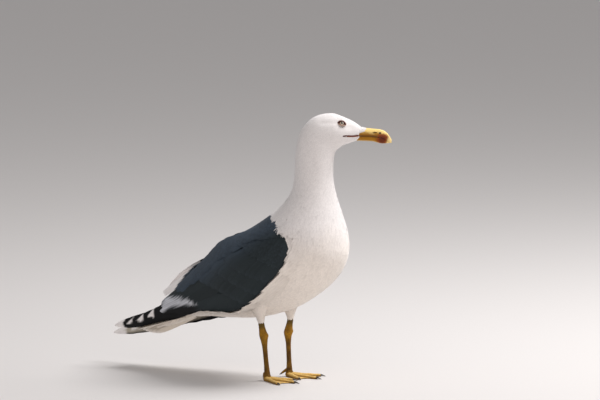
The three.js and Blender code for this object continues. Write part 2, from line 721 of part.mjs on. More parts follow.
// ---------------------------------------------------------------- assembly
const bird = new THREE.Group();
const parted = partedFlesh();
const bill = bills();
bird.add(meshOf("head", head(parted), FINISHES.white));
bird.add(meshOf("neck", largest(parted.neck), FINISHES.white));
bird.add(meshOf("torso", largest(parted.torso), FINISHES.white));
bird.add(meshOf("mantle", largest(parted.mantle), FINISHES.slate));
bird.add(meshOf("bill_upper", bill.upper, FINISHES.bill));
bird.add(meshOf("bill_lower", bill.lower, FINISHES.bill));
bird.add(meshOf("tail", tail(), FINISHES.white));
for (const [word, side] of [["right", -1], ["left", 1]]) {
  const thigh = limb(THIGH, side, 14).subtract(bodyCutter);
  bird.add(meshOf("eye_" + word, eyeBall(side, EYE.radius), FINISHES.eye));
  bird.add(meshOf("wing_" + word, wing(side), FINISHES.slate));
  bird.add(meshOf("thigh_" + word, largest(thigh), FINISHES.white));
  bird.add(meshOf("shank_" + word, limb(SHANK, side, 10), FINISHES.leg));
  bird.add(meshOf("foot_" + word, foot(side), FINISHES.leg));
  for (const [toe, made] of claws(side))
    bird.add(meshOf(`claw_${word}_${toe}`, made, FINISHES.claw));
}

// The origin is on the floor under the middle of the bird's box.
const box = new THREE.Box3().setFromObject(bird);
const middle = box.getCenter(new THREE.Vector3());
bird.position.set(-middle.x, -middle.y, -box.min.z);

export default bird;
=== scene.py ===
"""An adult gull of the lesser black-backed kind, standing: skin, plumage, bill, eyes and feet.

Lengths are in millimetres in the stance frame (x forward, y to the bird's left, z up, the
origin on the floor between the heels) until `placed` turns them into the frame's metres.
"""

import bpy
import numpy as np
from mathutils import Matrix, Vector

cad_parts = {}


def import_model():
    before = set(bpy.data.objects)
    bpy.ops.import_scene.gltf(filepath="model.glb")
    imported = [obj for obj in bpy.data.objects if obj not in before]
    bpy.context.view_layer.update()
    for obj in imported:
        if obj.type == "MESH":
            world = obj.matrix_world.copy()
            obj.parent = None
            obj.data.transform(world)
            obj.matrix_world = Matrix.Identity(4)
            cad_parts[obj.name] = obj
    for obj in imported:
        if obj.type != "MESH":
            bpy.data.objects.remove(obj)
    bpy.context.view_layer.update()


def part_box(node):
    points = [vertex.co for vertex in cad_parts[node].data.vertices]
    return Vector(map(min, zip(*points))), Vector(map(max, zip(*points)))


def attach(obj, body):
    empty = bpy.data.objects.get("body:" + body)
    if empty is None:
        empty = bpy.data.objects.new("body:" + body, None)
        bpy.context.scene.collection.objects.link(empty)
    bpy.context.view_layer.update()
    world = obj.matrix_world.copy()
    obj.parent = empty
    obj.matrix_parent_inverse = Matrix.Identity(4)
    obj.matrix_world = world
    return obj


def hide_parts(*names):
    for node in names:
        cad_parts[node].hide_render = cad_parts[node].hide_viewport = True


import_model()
chance = np.random.default_rng(20)
SIDE_WORD = {-1: "right", 1: "left"}

# ---------------------------------------------------------------- sizes of the bird
NECK_AXIS_X = 63.0
HEAD_TURN = np.radians(35)
# Stations between which the neck takes up the head's turn, and the sections' egg shape.
TWIST_FROM, TWIST_TO = 10, 5
FLESH_EGG = 0.1
# Back line (x, z), front line (x, z) and half width, from the face to the end of the rump.
STATIONS = np.array([
    [139, 351.5, 137, 348.5, 1.6], [133, 356.6, 125, 341.6, 6.4], [119.4, 366.6, 114, 337.5, 12.6],
    [104, 373.8, 105, 334.5, 18.2], [86, 379, 98, 330, 22], [62, 373, 93, 324.5, 24],
    [45, 354, 91, 316, 25], [37.5, 325, 90, 303, 25.5], [35.5, 295, 90.5, 284, 26.5],
    [31, 270, 94.5, 260, 32.5], [15, 247.5, 102, 233, 43.5], [-10, 228, 109, 204, 55.5],
    [-36, 212, 109, 176, 61], [-62, 198, 94, 148, 60], [-85, 181, 65, 123.5, 54],
    [-105, 160, 28, 103, 45], [-123, 141, -22, 88, 35.5], [-140, 124, -68, 83.5, 27],
    [-155, 109, -108, 82, 20], [-168, 97, -142, 79, 14], [-176, 90, -162, 79, 8.5],
    [-179, 86, -174, 80, 3],
])
# Depth of the coat over the skin, and length and half width of its feathers: station, values.
COAT = np.array([
    [0.0, 0.3, 2.2, 0.45], [1.0, 0.4, 2.8, 0.55], [2.0, 0.8, 3.8, 0.7], [3.0, 1.1, 5.2, 0.85],
    [4.0, 1.4, 6.6, 0.95], [5.0, 1.8, 8.0, 1.05], [6.0, 2.2, 9.5, 1.2], [8.0, 2.8, 12, 1.4],
    [10.0, 3.6, 15, 1.7], [12.0, 4.4, 17, 2.1], [14.0, 4.6, 18, 2.3], [17.0, 3.8, 18, 2.3],
    [19.0, 2.6, 20, 2.6], [21.0, 1.4, 22, 2.8],
])
# Planes, by a point and a normal, that bound the dark back below and in front.
MANTLE_UNDER = (np.array([-62, 0, 154.0]), np.array([-0.515, 0, 0.857]))
MANTLE_FRONT = (np.array([2, 0, 233.0]), np.array([-0.53, 0, -0.85]))

# The eye and the head's own parts are given before the head is turned.
EYE = np.array([101.5, 10.8, 364.2])
EYE_RADIUS, EYE_BARE = 6.3, 5.5
EYE_AXIS = np.array([0.08, 0.9, 0.42]) / np.linalg.norm([0.08, 0.9, 0.42])
EYE_TILT = np.radians(13)
MOUTH_Z, MOUTH_BACK, MOUTH_FRONT = 348.0, 103.5, 133.0
# Bill sections: x, top, bottom, half width.
UPPER_BILL = np.array([
    [117, 361, 348.2, 8.2], [127, 359.6, 348.1, 8.0], [137, 358.2, 347.6, 6.7],
    [147, 357.2, 346.9, 5.4], [155, 356.3, 345.3, 4.7], [161, 354.4, 343, 4.1],
    [165.5, 350.8, 340.2, 3.4], [169, 346.4, 337.8, 2.7], [171.4, 341.8, 336.9, 1.7],
])
LOWER_BILL = np.array([
    [112, 347.9, 341, 7.6], [124, 347.8, 340.3, 7.2], [136, 347.3, 339.9, 6.0],
    [146, 346.6, 339.2, 4.9], [153, 345.3, 337.3, 4.3], [158.5, 343.6, 336.4, 3.6],
    [163, 341.6, 336.6, 2.9], [168.4, 339.6, 337.1, 2.0],
])
NOSTRIL = np.array([148.0, 352.0])

HEEL_OUT = 27.0
# Height and x of the middle of each leg, by its side.
LEG_LINE = {
    -1: np.array([[0, 2.6], [10, 2.2], [62, -3.6], [84, -8.8], [110, -12.0]]),
    1: np.array([[0, 2.4], [10, 2.2], [62, -0.3], [84, 4.6], [110, 0.5]]),
}
# Height, half depth and half width of the thigh, and of the shank with the ball of the foot.
THIGH = np.array([
    [82.5, 4.9, 4.4], [88.5, 6.4, 5.8], [94, 9.2, 8.2], [101, 13, 11], [109, 17, 14], [118, 23, 18],
    [128, 30, 21],
])
THIGH_LOW, THIGH_HIGH, THIGH_COAT = 83.4, 127, 1.5
SHANK = np.array([
    [0, 4.2, 3.4], [3, 5.6, 5], [6.5, 5.6, 4.9], [10, 4.6, 3.8], [14, 4.1, 3.4], [22, 3.6, 2.9],
    [35, 3.5, 2.8], [48, 3.8, 3.1], [56, 5.0, 4.1], [62.5, 6.3, 5.2], [69, 5.6, 4.7],
    [76, 4.6, 4.0], [88, 4.4, 3.9],
])
# Turn from straight ahead, length, and length of the claw.
TOES = {"inner": (-31, 38, 6.5), "middle": (0, 49, 8), "outer": (33, 46, 6.5)}
WEB_REACH, WEB_DIP = 0.9, 0.74
# Share of a toe's length, half width and height there.
TOE_BULGES = np.array([
    [0, 4.2, 8.4], [0.16, 3.6, 6.6], [0.36, 3.3, 5.6], [0.5, 2.7, 4.9], [0.66, 3.0, 4.8],
    [0.8, 2.4, 4.2], [0.93, 2.5, 4.1], [1, 1.9, 3.5],
])
HALLUX = {"x": -4, "in": 2, "z": 8.2, "length": 5, "turn": np.radians(135), "drop": 3.4, "claw": 2.8}

# Rails of a folded wing from its shoulder to its tip, and how far it bulges between them.
WING_UPPER = np.array([
    [38, 36, 223], [2, 31, 221], [-40, 27, 205.5], [-80, 21, 189], [-118, 14, 158],
    [-150, 9, 131], [-182, 8, 106], [-225, 9, 86], [-272, 9, 70],
])
WING_LOWER = np.array([
    [69, 55, 209], [48, 63, 172], [14, 63, 136], [-16, 56, 111], [-48, 48, 98],
    [-85, 40, 94], [-122, 32, 86], [-188, 20, 68], [-264, 14, 52],
])
WING_BULGE = np.array([9, 15, 18, 17, 13, 9, 6, 4, 2])[:, None]
# What the looser wing, the left, adds to the rails.
LOOSE_UPPER = np.array([
    [0, 0, 0], [0, 0, 0], [0, 0, 1], [0, 0, 4], [0, 3, 8],
    [-4, 6, 15], [-8, 8, 14], [-12, 9, -3], [-18, 11, -14],
])
LOOSE_LOWER = np.array([
    [0, 0, 0], [0, 0, 0], [0, 0, 0], [0, 1, -2], [0, 4, -6],
    [0, 8, -10], [0, 11, -12], [-4, 13, -12], [-22, 9, -15],
])
TAIL = {"root": (-150, 81), "tip": (-236, 53.5), "fan": np.radians(9), "pairs": 6, "half": 9.5,
        "shorter": 14, "spread": 1.9, "stack": 0.95, "roof": 0.14, "roll": 0.25}
# Root of the tail: mm behind its start, height of its middle, half width and half height.
TAIL_CORE_START, TAIL_CORE_COAT = -146, 1.5
TAIL_CORE = np.array([[0, 84, 15, 10], [18, 78.5, 17, 10], [34, 69.5, 16, 6.4], [48, 63, 12.5, 3.2]])

# Colours, in linear light.
WHITE = np.array([0.84, 0.805, 0.79])
# White with painted warm bounce light, for the lower body.
WHITE_WARM_BOUNCE = np.array([0.87, 0.80, 0.73])
# Cream of the tail: painted shade with warm bounce light, on feathers that are white.
TAIL_SHADED_CREAM = np.array([0.70, 0.61, 0.50])
# White of the wing's patch, greyed and blued as painted shade.
PATCH_SHADED_WHITE = np.array([0.62, 0.635, 0.68])
SLATE = np.array([0.0195, 0.0275, 0.031])
# Slate with painted sky light: paler and bluer, for the surfaces that face up.
SLATE_SKY_LIT = np.array([0.040, 0.060, 0.086])
SLATE_EDGE = np.array([0.034, 0.045, 0.056])
BLACK = np.array([0.005, 0.005, 0.006])
# Pale beige inner face of the looser wing's primaries: painted warm bounce light on a face in shade.
UNDERSIDE_BOUNCE_BEIGE = np.array([0.42, 0.38, 0.31])
BILL_YELLOW = np.array([0.36, 0.155, 0.002])
BILL_PALE = np.array([0.84, 0.62, 0.22])
BILL_TIP = BILL_PALE * [0.95, 0.98, 1.2]
BILL_BASE = np.array([0.70, 0.48, 0.27])
# Brownish ochre: painted shade along the bite and in the nostril.
BILL_SHADE_OCHRE = np.array([0.17, 0.062, 0.001])
BILL_RED = np.array([0.15, 0.019, 0.001])
FLESH_RED = np.array([0.13, 0.017, 0.007])
LIP_ORANGE = np.array([0.42, 0.10, 0.035])
IRIS = np.array([0.62, 0.49, 0.34])
# Dark outer ring of the iris: partly the limbus, partly painted shade of the brow and lids.
LIMBUS_AND_BROW_SHADE = np.array([0.045, 0.010, 0.005])
LEG_YELLOW = np.array([0.31, 0.15, 0.008])
# Pale yellow: painted highlight on the tops of the toes.
TOE_HIGHLIGHT_YELLOW = np.array([0.97, 0.66, 0.22])
LEG_BROWN = np.array([0.075, 0.032, 0.004])
LEG_OLIVE = np.array([0.085, 0.058, 0.012])
WEB_YELLOW = np.array([0.95, 0.62, 0.20])
# Rings of the lids from the eye outward: half height, half width, thickness, radius of the ball
# that it lies on, colour over the eye and colour under it.
# The colour over the eye is darker, painted shade under the brow; the colour under it is paler, painted
# light on the lower lid.
LIDS = [
    (2.7, 3.9, 0.5, 6.6, FLESH_RED * 0.4, FLESH_RED * 0.6),
    (3.2, 4.6, 0.75, 6.75, FLESH_RED * 0.85, np.array([0.46, 0.29, 0.21])),
    (4.1, 5.1, 0.6, 6.9, np.array([0.66, 0.54, 0.48]), np.array([0.78, 0.68, 0.62])),
]


# ---------------------------------------------------------------- number helpers
def unit(a):
    """Vectors scaled to length one."""
    return a / np.maximum(np.linalg.norm(a, axis=-1, keepdims=True), 1e-12)


def dot(a, b):
    """Dot products along the last axis, which stays with length one."""
    return np.sum(a * b, axis=-1, keepdims=True)


def smooth(f):
    """Eased step: 0 below 0, 1 above 1, level at both ends."""
    g = np.clip(f, 0, 1)
    return g * g * (3 - 2 * g)


def blend(a, b, f):
    """The share f of the way from a to b."""
    return a + (b - a) * f


def layered(colour, layers):
    """Colours laid one after another over the first, each by its share at every point."""
    for over, share in layers:
        colour = blend(colour, over, share[..., None])
    return colour


def bell(x, width):
    """Rounded bump, 1 at 0 and near 0 past two widths."""
    return np.exp(-((x / width) ** 2))


def through(knots, t):
    """Uniform Catmull-Rom curve through the rows of `knots`, straight past both ends."""
    k = np.asarray(knots, float)
    k = np.concatenate([[2 * k[0] - k[1]], k, [2 * k[-1] - k[-2]]])
    t = np.asarray(t, float)
    i = np.clip(np.floor(t).astype(int), 0, len(k) - 4)
    f = (t - i)[..., None]
    a, b, c, d = k[i], k[i + 1], k[i + 2], k[i + 3]
    bend = (2 * a - 5 * b + 4 * c - d) * f**2
    return 0.5 * (2 * b + (c - a) * f + bend + (3 * b - a - 3 * c + d) * f**3)


def eased(table, at):
    """Columns of a table read at `at` (its first column), on a smooth curve between its rows."""
    place = np.interp(at, table[:, 0], np.arange(len(table)))
    return through(table[:, 1:], place)


def once_round(count):
    """Angles in equal steps once round."""
    return np.linspace(0, 2 * np.pi, count, endpoint=False)


def turned(p, angle):
    """Points turned by an angle about the upright line of the neck."""
    c, s = np.cos(angle), np.sin(angle)
    x = p[..., 0] - NECK_AXIS_X
    return np.stack([NECK_AXIS_X + x * c - p[..., 1] * s, x * s + p[..., 1] * c, p[..., 2]], -1)


def ripple(p, scale, seed):
    """Smooth unevenness of about -1 to 1: three crossed sine waves over the points."""
    turns = np.random.default_rng(seed).uniform(-1, 1, (3, 3)) * 2 * np.pi / scale
    phase = np.arange(3) * 2.1
    return np.sin(p @ turns.T + phase).mean(-1) * 1.4


# ---------------------------------------------------------------- surfaces
class Sheet:
    """A surface kept as a table of points over u and v, with its slopes and outward normals.

    A place (u, v) is read from the four nearest entries in proportion; past an edge the
    last stretch goes on straight, and a closed sheet wraps round in v after 1."""

    def __init__(self, u, v, points, away, closed=False):
        self.start = np.array([u[0], v[0]])
        self.step = np.array([u[1] - u[0], v[1] - v[0]])
        self.closed = closed
        along = np.gradient(points, self.step[0], axis=0)
        if closed:
            around = (np.roll(points, -1, 1) - np.roll(points, 1, 1)) / (2 * self.step[1])
        else:
            around = np.gradient(points, self.step[1], axis=1)
        normal = unit(np.cross(along, around))
        normal *= np.sign(np.sum(normal * away))
        self.table = np.concatenate([points, along, around, normal], -1)

    def read(self, uv):
        """Point, slope along u, slope along v and unit normal at each place."""
        rows, columns = self.table.shape[:2]
        a = (uv[..., 0] - self.start[0]) / self.step[0]
        b = (uv[..., 1] - self.start[1]) / self.step[1]
        i = np.clip(np.floor(a).astype(int), 0, rows - 2)
        if self.closed:
            whole = np.floor(b).astype(int)
            j, after, fb = whole % columns, (whole + 1) % columns, b - whole
        else:
            j = np.clip(np.floor(b).astype(int), 0, columns - 2)
            after, fb = j + 1, b - j
        fa, fb = (a - i)[..., None], fb[..., None]
        near = self.table[i, j] * (1 - fb) + self.table[i, after] * fb
        far = self.table[i + 1, j] * (1 - fb) + self.table[i + 1, after] * fb
        row = near * (1 - fa) + far * fa
        return row[..., 0:3], row[..., 3:6], row[..., 6:9], unit(row[..., 9:12])


def slide(along, around, way):
    """How far u and v change on a move `way` (mm) in the tangent plane: the inverse metric."""
    uu, uv, vv = dot(along, along), dot(along, around), dot(around, around)
    a, b = dot(way, along), dot(way, around)
    d = np.maximum(uu * vv - uv * uv, 1e-9)
    return np.concatenate([(a * vv - b * uv) / d, (b * uu - a * uv) / d], -1)


def coat_size(t):
    """Depth of the coat, length and half width of its feathers at a station."""
    return np.moveaxis(np.stack([np.interp(t, COAT[:, 0], COAT[:, k]) for k in (1, 2, 3)]), 0, -1)


def flesh_points(t, v, inward):
    """Body surface, `inward` mm under the plumage's outline.

    A section runs from a back line to a front line; a point on it is their middle, plus
    half their distance times the cosine, and half the width times the sine, of the angle
    round it. It is a little wider to the front, and the head's end is turned."""
    row = through(STATIONS, t)
    back, front, half = row[..., 0:2], row[..., 2:4], row[..., 4] - inward
    along = (back - front) / 2
    angle = 2 * np.pi * v
    c = np.cos(angle) * (1 - inward / np.linalg.norm(along, axis=-1))
    side = half * np.sin(angle) * (1 - FLESH_EGG * np.cos(angle))
    mid = (back + front) / 2 + along * c[..., None]
    twist = HEAD_TURN * smooth((TWIST_FROM - t) / (TWIST_FROM - TWIST_TO))
    return turned(np.stack([mid[..., 0], side, mid[..., 1]], -1), twist)


def face_relief(points):
    """Relief of the head in mm along the normal: hollow round the eye, brow over it, a crease
    behind it, a cheek, and the fold of the mouth."""
    x, y, z = np.moveaxis(turned(points, -HEAD_TURN), -1, 0)
    from_eye = np.hypot(x - EYE[0], z - EYE[2])
    brow = bell(np.hypot((x - 100) / 1.9, z - 370.2), 3.0) * 0.9
    crease = bell(z - 367 - 0.06 * (x - 90), 2.6) * smooth((x - 64) / 14) * smooth((96 - x) / 5)
    lores = bell(np.hypot((x - 114) / 1.6, z - 359), 4.0)
    cheek = bell(np.hypot((x - 92) / 1.8, (z - 349) / 1.1), 9.0)
    mouth = bell(z - MOUTH_Z, 0.9) * smooth((x - MOUTH_BACK + 2) / 5)
    chin = bell(z - MOUTH_Z + 3, 2.2) * smooth((x - MOUTH_BACK - 2) / 8)
    shape = brow - 0.9 * bell(from_eye, 6.5) - 0.6 * crease - 0.8 * lores + 0.9 * cheek
    shape += 0.35 * chin - 0.9 * mouth
    return np.where(np.abs(y) > 2, shape, 0) * smooth((x - 60) / 8)


def flesh_sheet():
    """Table of the body's surface under its coat, over station 0.3 to 21 and once round."""
    u, v = np.linspace(0.3, 21, 330), np.arange(224) / 224
    t, round_ = np.meshgrid(u, v, indexing="ij")
    points = flesh_points(t, round_, coat_size(t)[..., 0])
    away = points - points.mean(1, keepdims=True)
    normal = Sheet(u, v, points, away, closed=True).table[..., 9:12]
    points = points + normal * np.where(t < 7, face_relief(points), 0)[..., None]
    return Sheet(u, v, points, away, closed=True)


def head_half(x, z):
    """Half width of the head's skin at each x and z of its own frame."""
    t, v = np.meshgrid(np.linspace(0.2, 5, 200), np.linspace(0.02, 0.48, 120), indexing="ij")
    p = turned(flesh_points(t, v, 0.4), -HEAD_TURN).reshape(-1, 3)
    far = (p[:, 0] - x[:, None]) ** 2 + (p[:, 2] - z[:, None]) ** 2
    return p[far.argmin(1), 1]


def eye_frame(side):
    """Centre of an eye and three square directions: outward, forward and a little down along
    the head, and up."""
    centre = turned(EYE * [1, side, 1], HEAD_TURN)
    c, s = np.cos(HEAD_TURN), np.sin(HEAD_TURN)
    spin = np.array([[c, -s, 0], [s, c, 0], [0, 0, 1]])
    out = spin @ (EYE_AXIS * [1, side, 1])
    ahead = spin @ np.array([1.0, 0, 0])
    ahead = unit(ahead - out * (ahead @ out))
    up = np.cross(out, ahead)
    up *= np.sign(up[2])
    c, s = np.cos(EYE_TILT), np.sin(EYE_TILT)
    return centre, out, c * ahead - s * up, s * ahead + c * up


def leg_middle(side, z):
    """x of the leg's middle at height z, with its bend at the hock rounded off."""
    line = LEG_LINE[side]
    return sum(np.interp(z + d, line[:, 0], line[:, 1]) for d in (-4, -2, 0, 2, 4)) / 5


def leg_rings(side, z, deep, wide, angle):
    """Rings of a leg at heights z: its middle, plus half the depth times the cosine and half
    the width times the sine of the angle."""
    x = leg_middle(side, z)[:, None] + deep * np.cos(angle)
    y = side * HEEL_OUT + wide * np.sin(angle)
    return np.stack([x, y, np.broadcast_to(z[:, None], x.shape)], -1)


def thigh_sheet(side):
    """Skin of a thigh from its top down: ovals round the leg's middle, inside the coat."""
    u, v = np.linspace(0, THIGH_HIGH - THIGH_LOW, 120), np.arange(48) / 48
    z = THIGH_HIGH - u
    half = eased(THIGH, z) - THIGH_COAT
    points = leg_rings(side, z, half[:, :1], half[:, 1:], 2 * np.pi * v)
    return Sheet(u, v, points, points - points.mean(1, keepdims=True), closed=True)


def wing_sheet(side):
    """Outer face of a folded wing over s (0 shoulder to 8 tip) and q (0 upper, 1 lower rail).

    A point is a share q of the way between the rails, pushed out by 4 q (1 - q) times the
    bulge, square to both. The bird's left wing hangs looser."""
    loose = side > 0
    upper, lower = WING_UPPER + loose * LOOSE_UPPER, WING_LOWER + loose * LOOSE_LOWER
    s, q = np.linspace(-0.4, 8.3, 350), np.linspace(-0.25, 1.25, 91)
    top, bottom = through(upper, s), through(lower, s)
    ahead = through(upper, s + 0.05) + through(lower, s + 0.05) - top - bottom
    out = unit(np.cross(ahead, bottom - top))
    out *= np.sign(out[:, 1:2])
    arch = 4 * q * (1 - q) * through(WING_BULGE, s)
    points = top[:, None] + (bottom - top)[:, None] * q[:, None] + out[:, None] * arch[..., None]
    points[..., 1] *= side
    return Sheet(s, q, points, np.array([0, side, 0.0]))


def tail_core_sheet():
    """Root of the tail, inside its coat: ovals that taper back from the rump."""
    u, v = np.linspace(0, TAIL_CORE[-1, 0], 60), np.arange(48) / 48
    back, round_ = np.meshgrid(u, v, indexing="ij")
    middle, wide, tall = np.moveaxis(eased(TAIL_CORE, back), -1, 0)
    angle = 2 * np.pi * round_
    points = np.stack([TAIL_CORE_START - back, (wide - TAIL_CORE_COAT) * np.cos(angle),
                       middle + (tall - TAIL_CORE_COAT) * np.sin(angle)], -1)
    return Sheet(u, v, points, points - points.mean(1, keepdims=True), closed=True)


def tail_sheet():
    """Roof-like plane of the tail over mm along it and mm to its left, rolled to one side."""
    (x0, z0), (x1, z1) = TAIL["root"], TAIL["tip"]
    length, slope = np.hypot(x1 - x0, z1 - z0), np.arctan2(z0 - z1, x0 - x1)
    u, v = np.linspace(-30, 130, 81), np.linspace(-40, 40, 81)
    a, y = np.meshgrid(u, v, indexing="ij")
    sag = (TAIL["roof"] * np.sqrt(y**2 + 9) + TAIL["roll"] * y) * blend(0.45, 1, a / length)
    points = np.stack([x0 - a * np.cos(slope), y, z0 - a * np.sin(slope) - sag], -1)
    return Sheet(u, v, points, np.array([0, 0, 1.0])), length


# ---------------------------------------------------------------- feathers
# Points round a vane's section: place across it (-1 to 1) and side (1 outer, -1 inner face).
LEAF = np.array([[-1, 0], [0, 1], [1, 0], [0, -1]])
BLADE = np.array([[-1, 0], [-0.5, 1], [0, 1.1], [0.5, 1], [1, 0], [0, -1]])
QUILL = np.array([
    [-1, 0], [-0.7, 0.8], [-0.35, 1], [-0.06, 1], [0, 2.4], [0.06, 1], [0.35, 1], [0.7, 0.8],
    [1, 0], [0.5, -1], [0, -1.6], [-0.5, -1],
])
# Share of the half width at shares of a vane's length.
OUTLINES = {
    "wisp": [[0, 0.4], [0.3, 0.85], [0.55, 1], [0.8, 0.7], [1, 0.06]],
    "leaf": [[0, 0.45], [0.3, 0.85], [0.65, 1], [0.86, 0.8], [1, 0.2]],
    "round": [[0, 0.5], [0.4, 0.95], [0.75, 1], [0.9, 0.8], [0.97, 0.5], [1, 0.2]],
    "long": [[0, 0.4], [0.3, 0.9], [0.75, 1], [0.9, 0.75], [0.97, 0.4], [1, 0.1]],
}


def walk(sheet, roots, turn, length, rings):
    """Middle line of each vane, in equal steps over the sheet from its root, the way u grows
    turned by `turn`. Returns the places (u, v) and the directions."""
    uv = roots.copy()
    _, along, around, normal = sheet.read(uv)
    way = unit(along - normal * dot(along, normal))
    way = np.cos(turn)[:, None] * way + np.sin(turn)[:, None] * np.cross(normal, way)
    line, ways = [], []
    for _ in range(rings):
        _, along, around, normal = sheet.read(uv)
        way = unit(way - normal * dot(way, normal))
        line.append(uv)
        ways.append(way)
        uv = uv + slide(along, around, way * (length / (rings - 1))[:, None])
    return np.stack(line, 1), np.stack(ways, 1)


def span(sheet, root, tip, rings):
    """Middle line of each vane straight from root to tip in (u, v), with its directions."""
    f = np.linspace(0, 1, rings)[None, :, None]
    line = root[:, None] * (1 - f) + tip[:, None] * f
    _, along, around, _ = sheet.read(line)
    run = (tip - root)[:, None]
    return line, unit(along * run[..., 0:1] + around * run[..., 1:2])


def vanes(sheet, middle, half, rise, outline, section, thick, camber=0.0, louvre=0.0, fray=0.0):
    """Closed thin vanes on a sheet.

    Round each place of the middle line go the section's points: across by half the width
    times the outline's share, and up by the vane's own rise, a camber that falls to the
    edges, a louvre that tips it, and half its thickness. Shading normals follow the sheet
    and lean with the camber, so that a coat reads as one soft surface."""
    line, ways = middle
    count, rings = line.shape[:2]
    f = np.linspace(0, 1, rings)
    share = np.interp(f, *np.array(OUTLINES[outline], float).T)
    c, up = section.T
    half = np.broadcast_to(half, count)
    wide = half[:, None] * share
    if fray:
        wide = wide * (1 + fray * chance.uniform(-1, 1, wide.shape))
    _, along, around, normal = sheet.read(line)
    side = np.cross(normal, ways)
    reach = wide[..., None] * c
    uv = line[:, :, None] + slide(along, around, side)[:, :, None] * reach[..., None]
    point, _, _, normal = sheet.read(uv)
    rise = np.broadcast_to(rise, (count, rings))
    height = rise[..., None] + louvre * reach + camber * (1 - c**2) * wide[..., None]
    height = height + up * thick / 2
    lean = normal + side[:, :, None] * (1.6 * camber * c - louvre)[:, None]
    step = np.linalg.norm(np.gradient(point[:, :, 0], axis=1), axis=-1)
    slope = np.gradient(rise, axis=1) / step
    run = f * step.mean(1, keepdims=True) * (rings - 1)
    lean = lean - 0.5 * ways[:, :, None] * np.clip(slope, -0.5, 0.5)[..., None, None]
    return {
        "points": point + normal * height[..., None],
        "normals": unit(lean),
        "facing": np.where(up + np.roll(up, -1) < -0.1, -1.0, 1.0),
        "along": np.broadcast_to(f[None, :, None], reach.shape),
        "across": np.broadcast_to(c, reach.shape),
        "run": np.broadcast_to(run[..., None], reach.shape),
        "reach": reach,
        "outer": np.broadcast_to(up > -0.1, reach.shape),
        "mark": sheet.read(line[:, -2])[0][:, None, None],
        "root": line[:, 0],
        "uv": uv,
        "sheet": sheet,
    }


def vane_faces(count, rings, ring):
    """Quads between the rings of `count` vanes, and one face over each end."""
    r, k = np.meshgrid(np.arange(rings - 1), np.arange(ring), indexing="ij")
    a, b = r * ring + k, r * ring + (k + 1) % ring
    quads = np.stack([a, a + ring, b + ring, b], -1).reshape(-1, 4)
    ends = np.stack([np.arange(ring), np.arange(ring)[::-1] + (rings - 1) * ring])
    shift = (np.arange(count) * rings * ring)[:, None, None]
    return [(quads + shift).reshape(-1, 4), (ends + shift).reshape(-1, ring)]


# ---------------------------------------------------------------- meshes
def design_offset():
    """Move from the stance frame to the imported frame, read off the two eyes."""
    boxes = [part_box("eye_right"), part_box("eye_left")]
    middle = np.mean([np.array(corner) for pair in boxes for corner in pair], axis=0) * 1000
    return middle - turned(np.array([EYE[0], 0, EYE[2]]), HEAD_TURN)


OFFSET = design_offset()


def placed(points):
    """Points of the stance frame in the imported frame's metres."""
    return (np.asarray(points, float).reshape(-1, 3) + OFFSET) / 1000


def shown(name, data):
    """New object with that data, in the scene."""
    made = bpy.data.objects.new(name, data)
    bpy.context.scene.collection.objects.link(made)
    return made


def piece(name, points, faces, material, replaces, normals=None, tint=None, vane=None,
          bake=None):
    """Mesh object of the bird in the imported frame, with its layers, riding on the body."""
    mesh = bpy.data.meshes.new(name)
    place = placed(points)
    loops = np.concatenate([f.ravel() for f in faces]).astype(np.int32)
    widths = np.concatenate([np.full(len(f), f.shape[1]) for f in faces])
    mesh.vertices.add(len(place))
    mesh.vertices.foreach_set("co", place.ravel())
    mesh.loops.add(len(loops))
    mesh.loops.foreach_set("vertex_index", loops)
    mesh.polygons.add(len(widths))
    mesh.polygons.foreach_set("loop_start", np.concatenate([[0], np.cumsum(widths)[:-1]]))
    mesh.polygons.foreach_set("use_smooth", np.ones(len(widths), bool))
    mesh.update(calc_edges=True)
    if tint is not None:
        colours = np.concatenate([tint, np.ones((len(place), 1))], 1)
        layer = mesh.color_attributes.new("tint", "FLOAT_COLOR", "POINT")
        layer.data.foreach_set("color", colours.ravel())
    if vane is not None:
        layer = mesh.attributes.new("vane", "FLOAT_VECTOR", "POINT")
        layer.data.foreach_set("vector", vane.astype(np.float32).ravel())
    if bake is not None:
        layer = mesh.uv_layers.new(name="OFBake")
        layer.data.foreach_set("uv", bake[loops].ravel())
    if normals is not None:
        mesh.normals_split_custom_set(normals)
    mesh.materials.append(material)
    made = shown(name, mesh)
    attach(made, "root")
    if replaces:
        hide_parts(*replaces)


def unwrapped(group):
    """Each root's place on the unwrap of its sheet: u and v scaled into the unit square."""
    sheet = group["sheet"]
    size = np.array(sheet.table.shape[:2]) * sheet.step
    share = (group["root"] - sheet.start) / size
    if sheet.closed:
        share[:, 1] %= 1
    return 0.02 + 0.96 * np.clip(share, 0, 1)


BAKE_PATCH = 0.003


def plumes(name, groups, colour, coat, replaces=()):
    """One coat piece from groups of vanes. `colour` gives each group's tint from its arrays and
    a chance number of every feather, and `coat` is a material and a slot name, of which only
    the material is used."""
    points, normals, tints, layers, patches, faces, count = [], [], [], [], [], [], 0
    for group in groups:
        shape = group["along"].shape
        dice = np.broadcast_to(chance.uniform(0, 1, shape[0])[:, None, None], shape)
        quads, ends = vane_faces(*shape)
        flat = group["normals"].reshape(-1, 3)
        facing = np.tile(group["facing"], shape[0] * (shape[1] - 1))
        normals.append((flat[quads] * facing[:, None, None]).reshape(-1, 3))
        normals.append(flat[ends].reshape(-1, 3))
        points.append(group["points"].reshape(-1, 3))
        tints.append(np.broadcast_to(colour(group, dice), (*shape, 3)).reshape(-1, 3))
        layers.append(np.stack([group["reach"], group["run"], dice], -1).reshape(-1, 3))
        patch = np.stack([group["along"] - 0.5, group["across"] / 2], -1) * BAKE_PATCH
        patches.append((unwrapped(group)[:, None, None] + patch).reshape(-1, 2))
        faces += [quads + count, ends + count]
        count += len(points[-1])
    piece(name, np.concatenate(points), faces, coat[0], replaces,
          normals=np.concatenate(normals), tint=np.concatenate(tints),
          vane=np.concatenate(layers), bake=np.concatenate(patches))


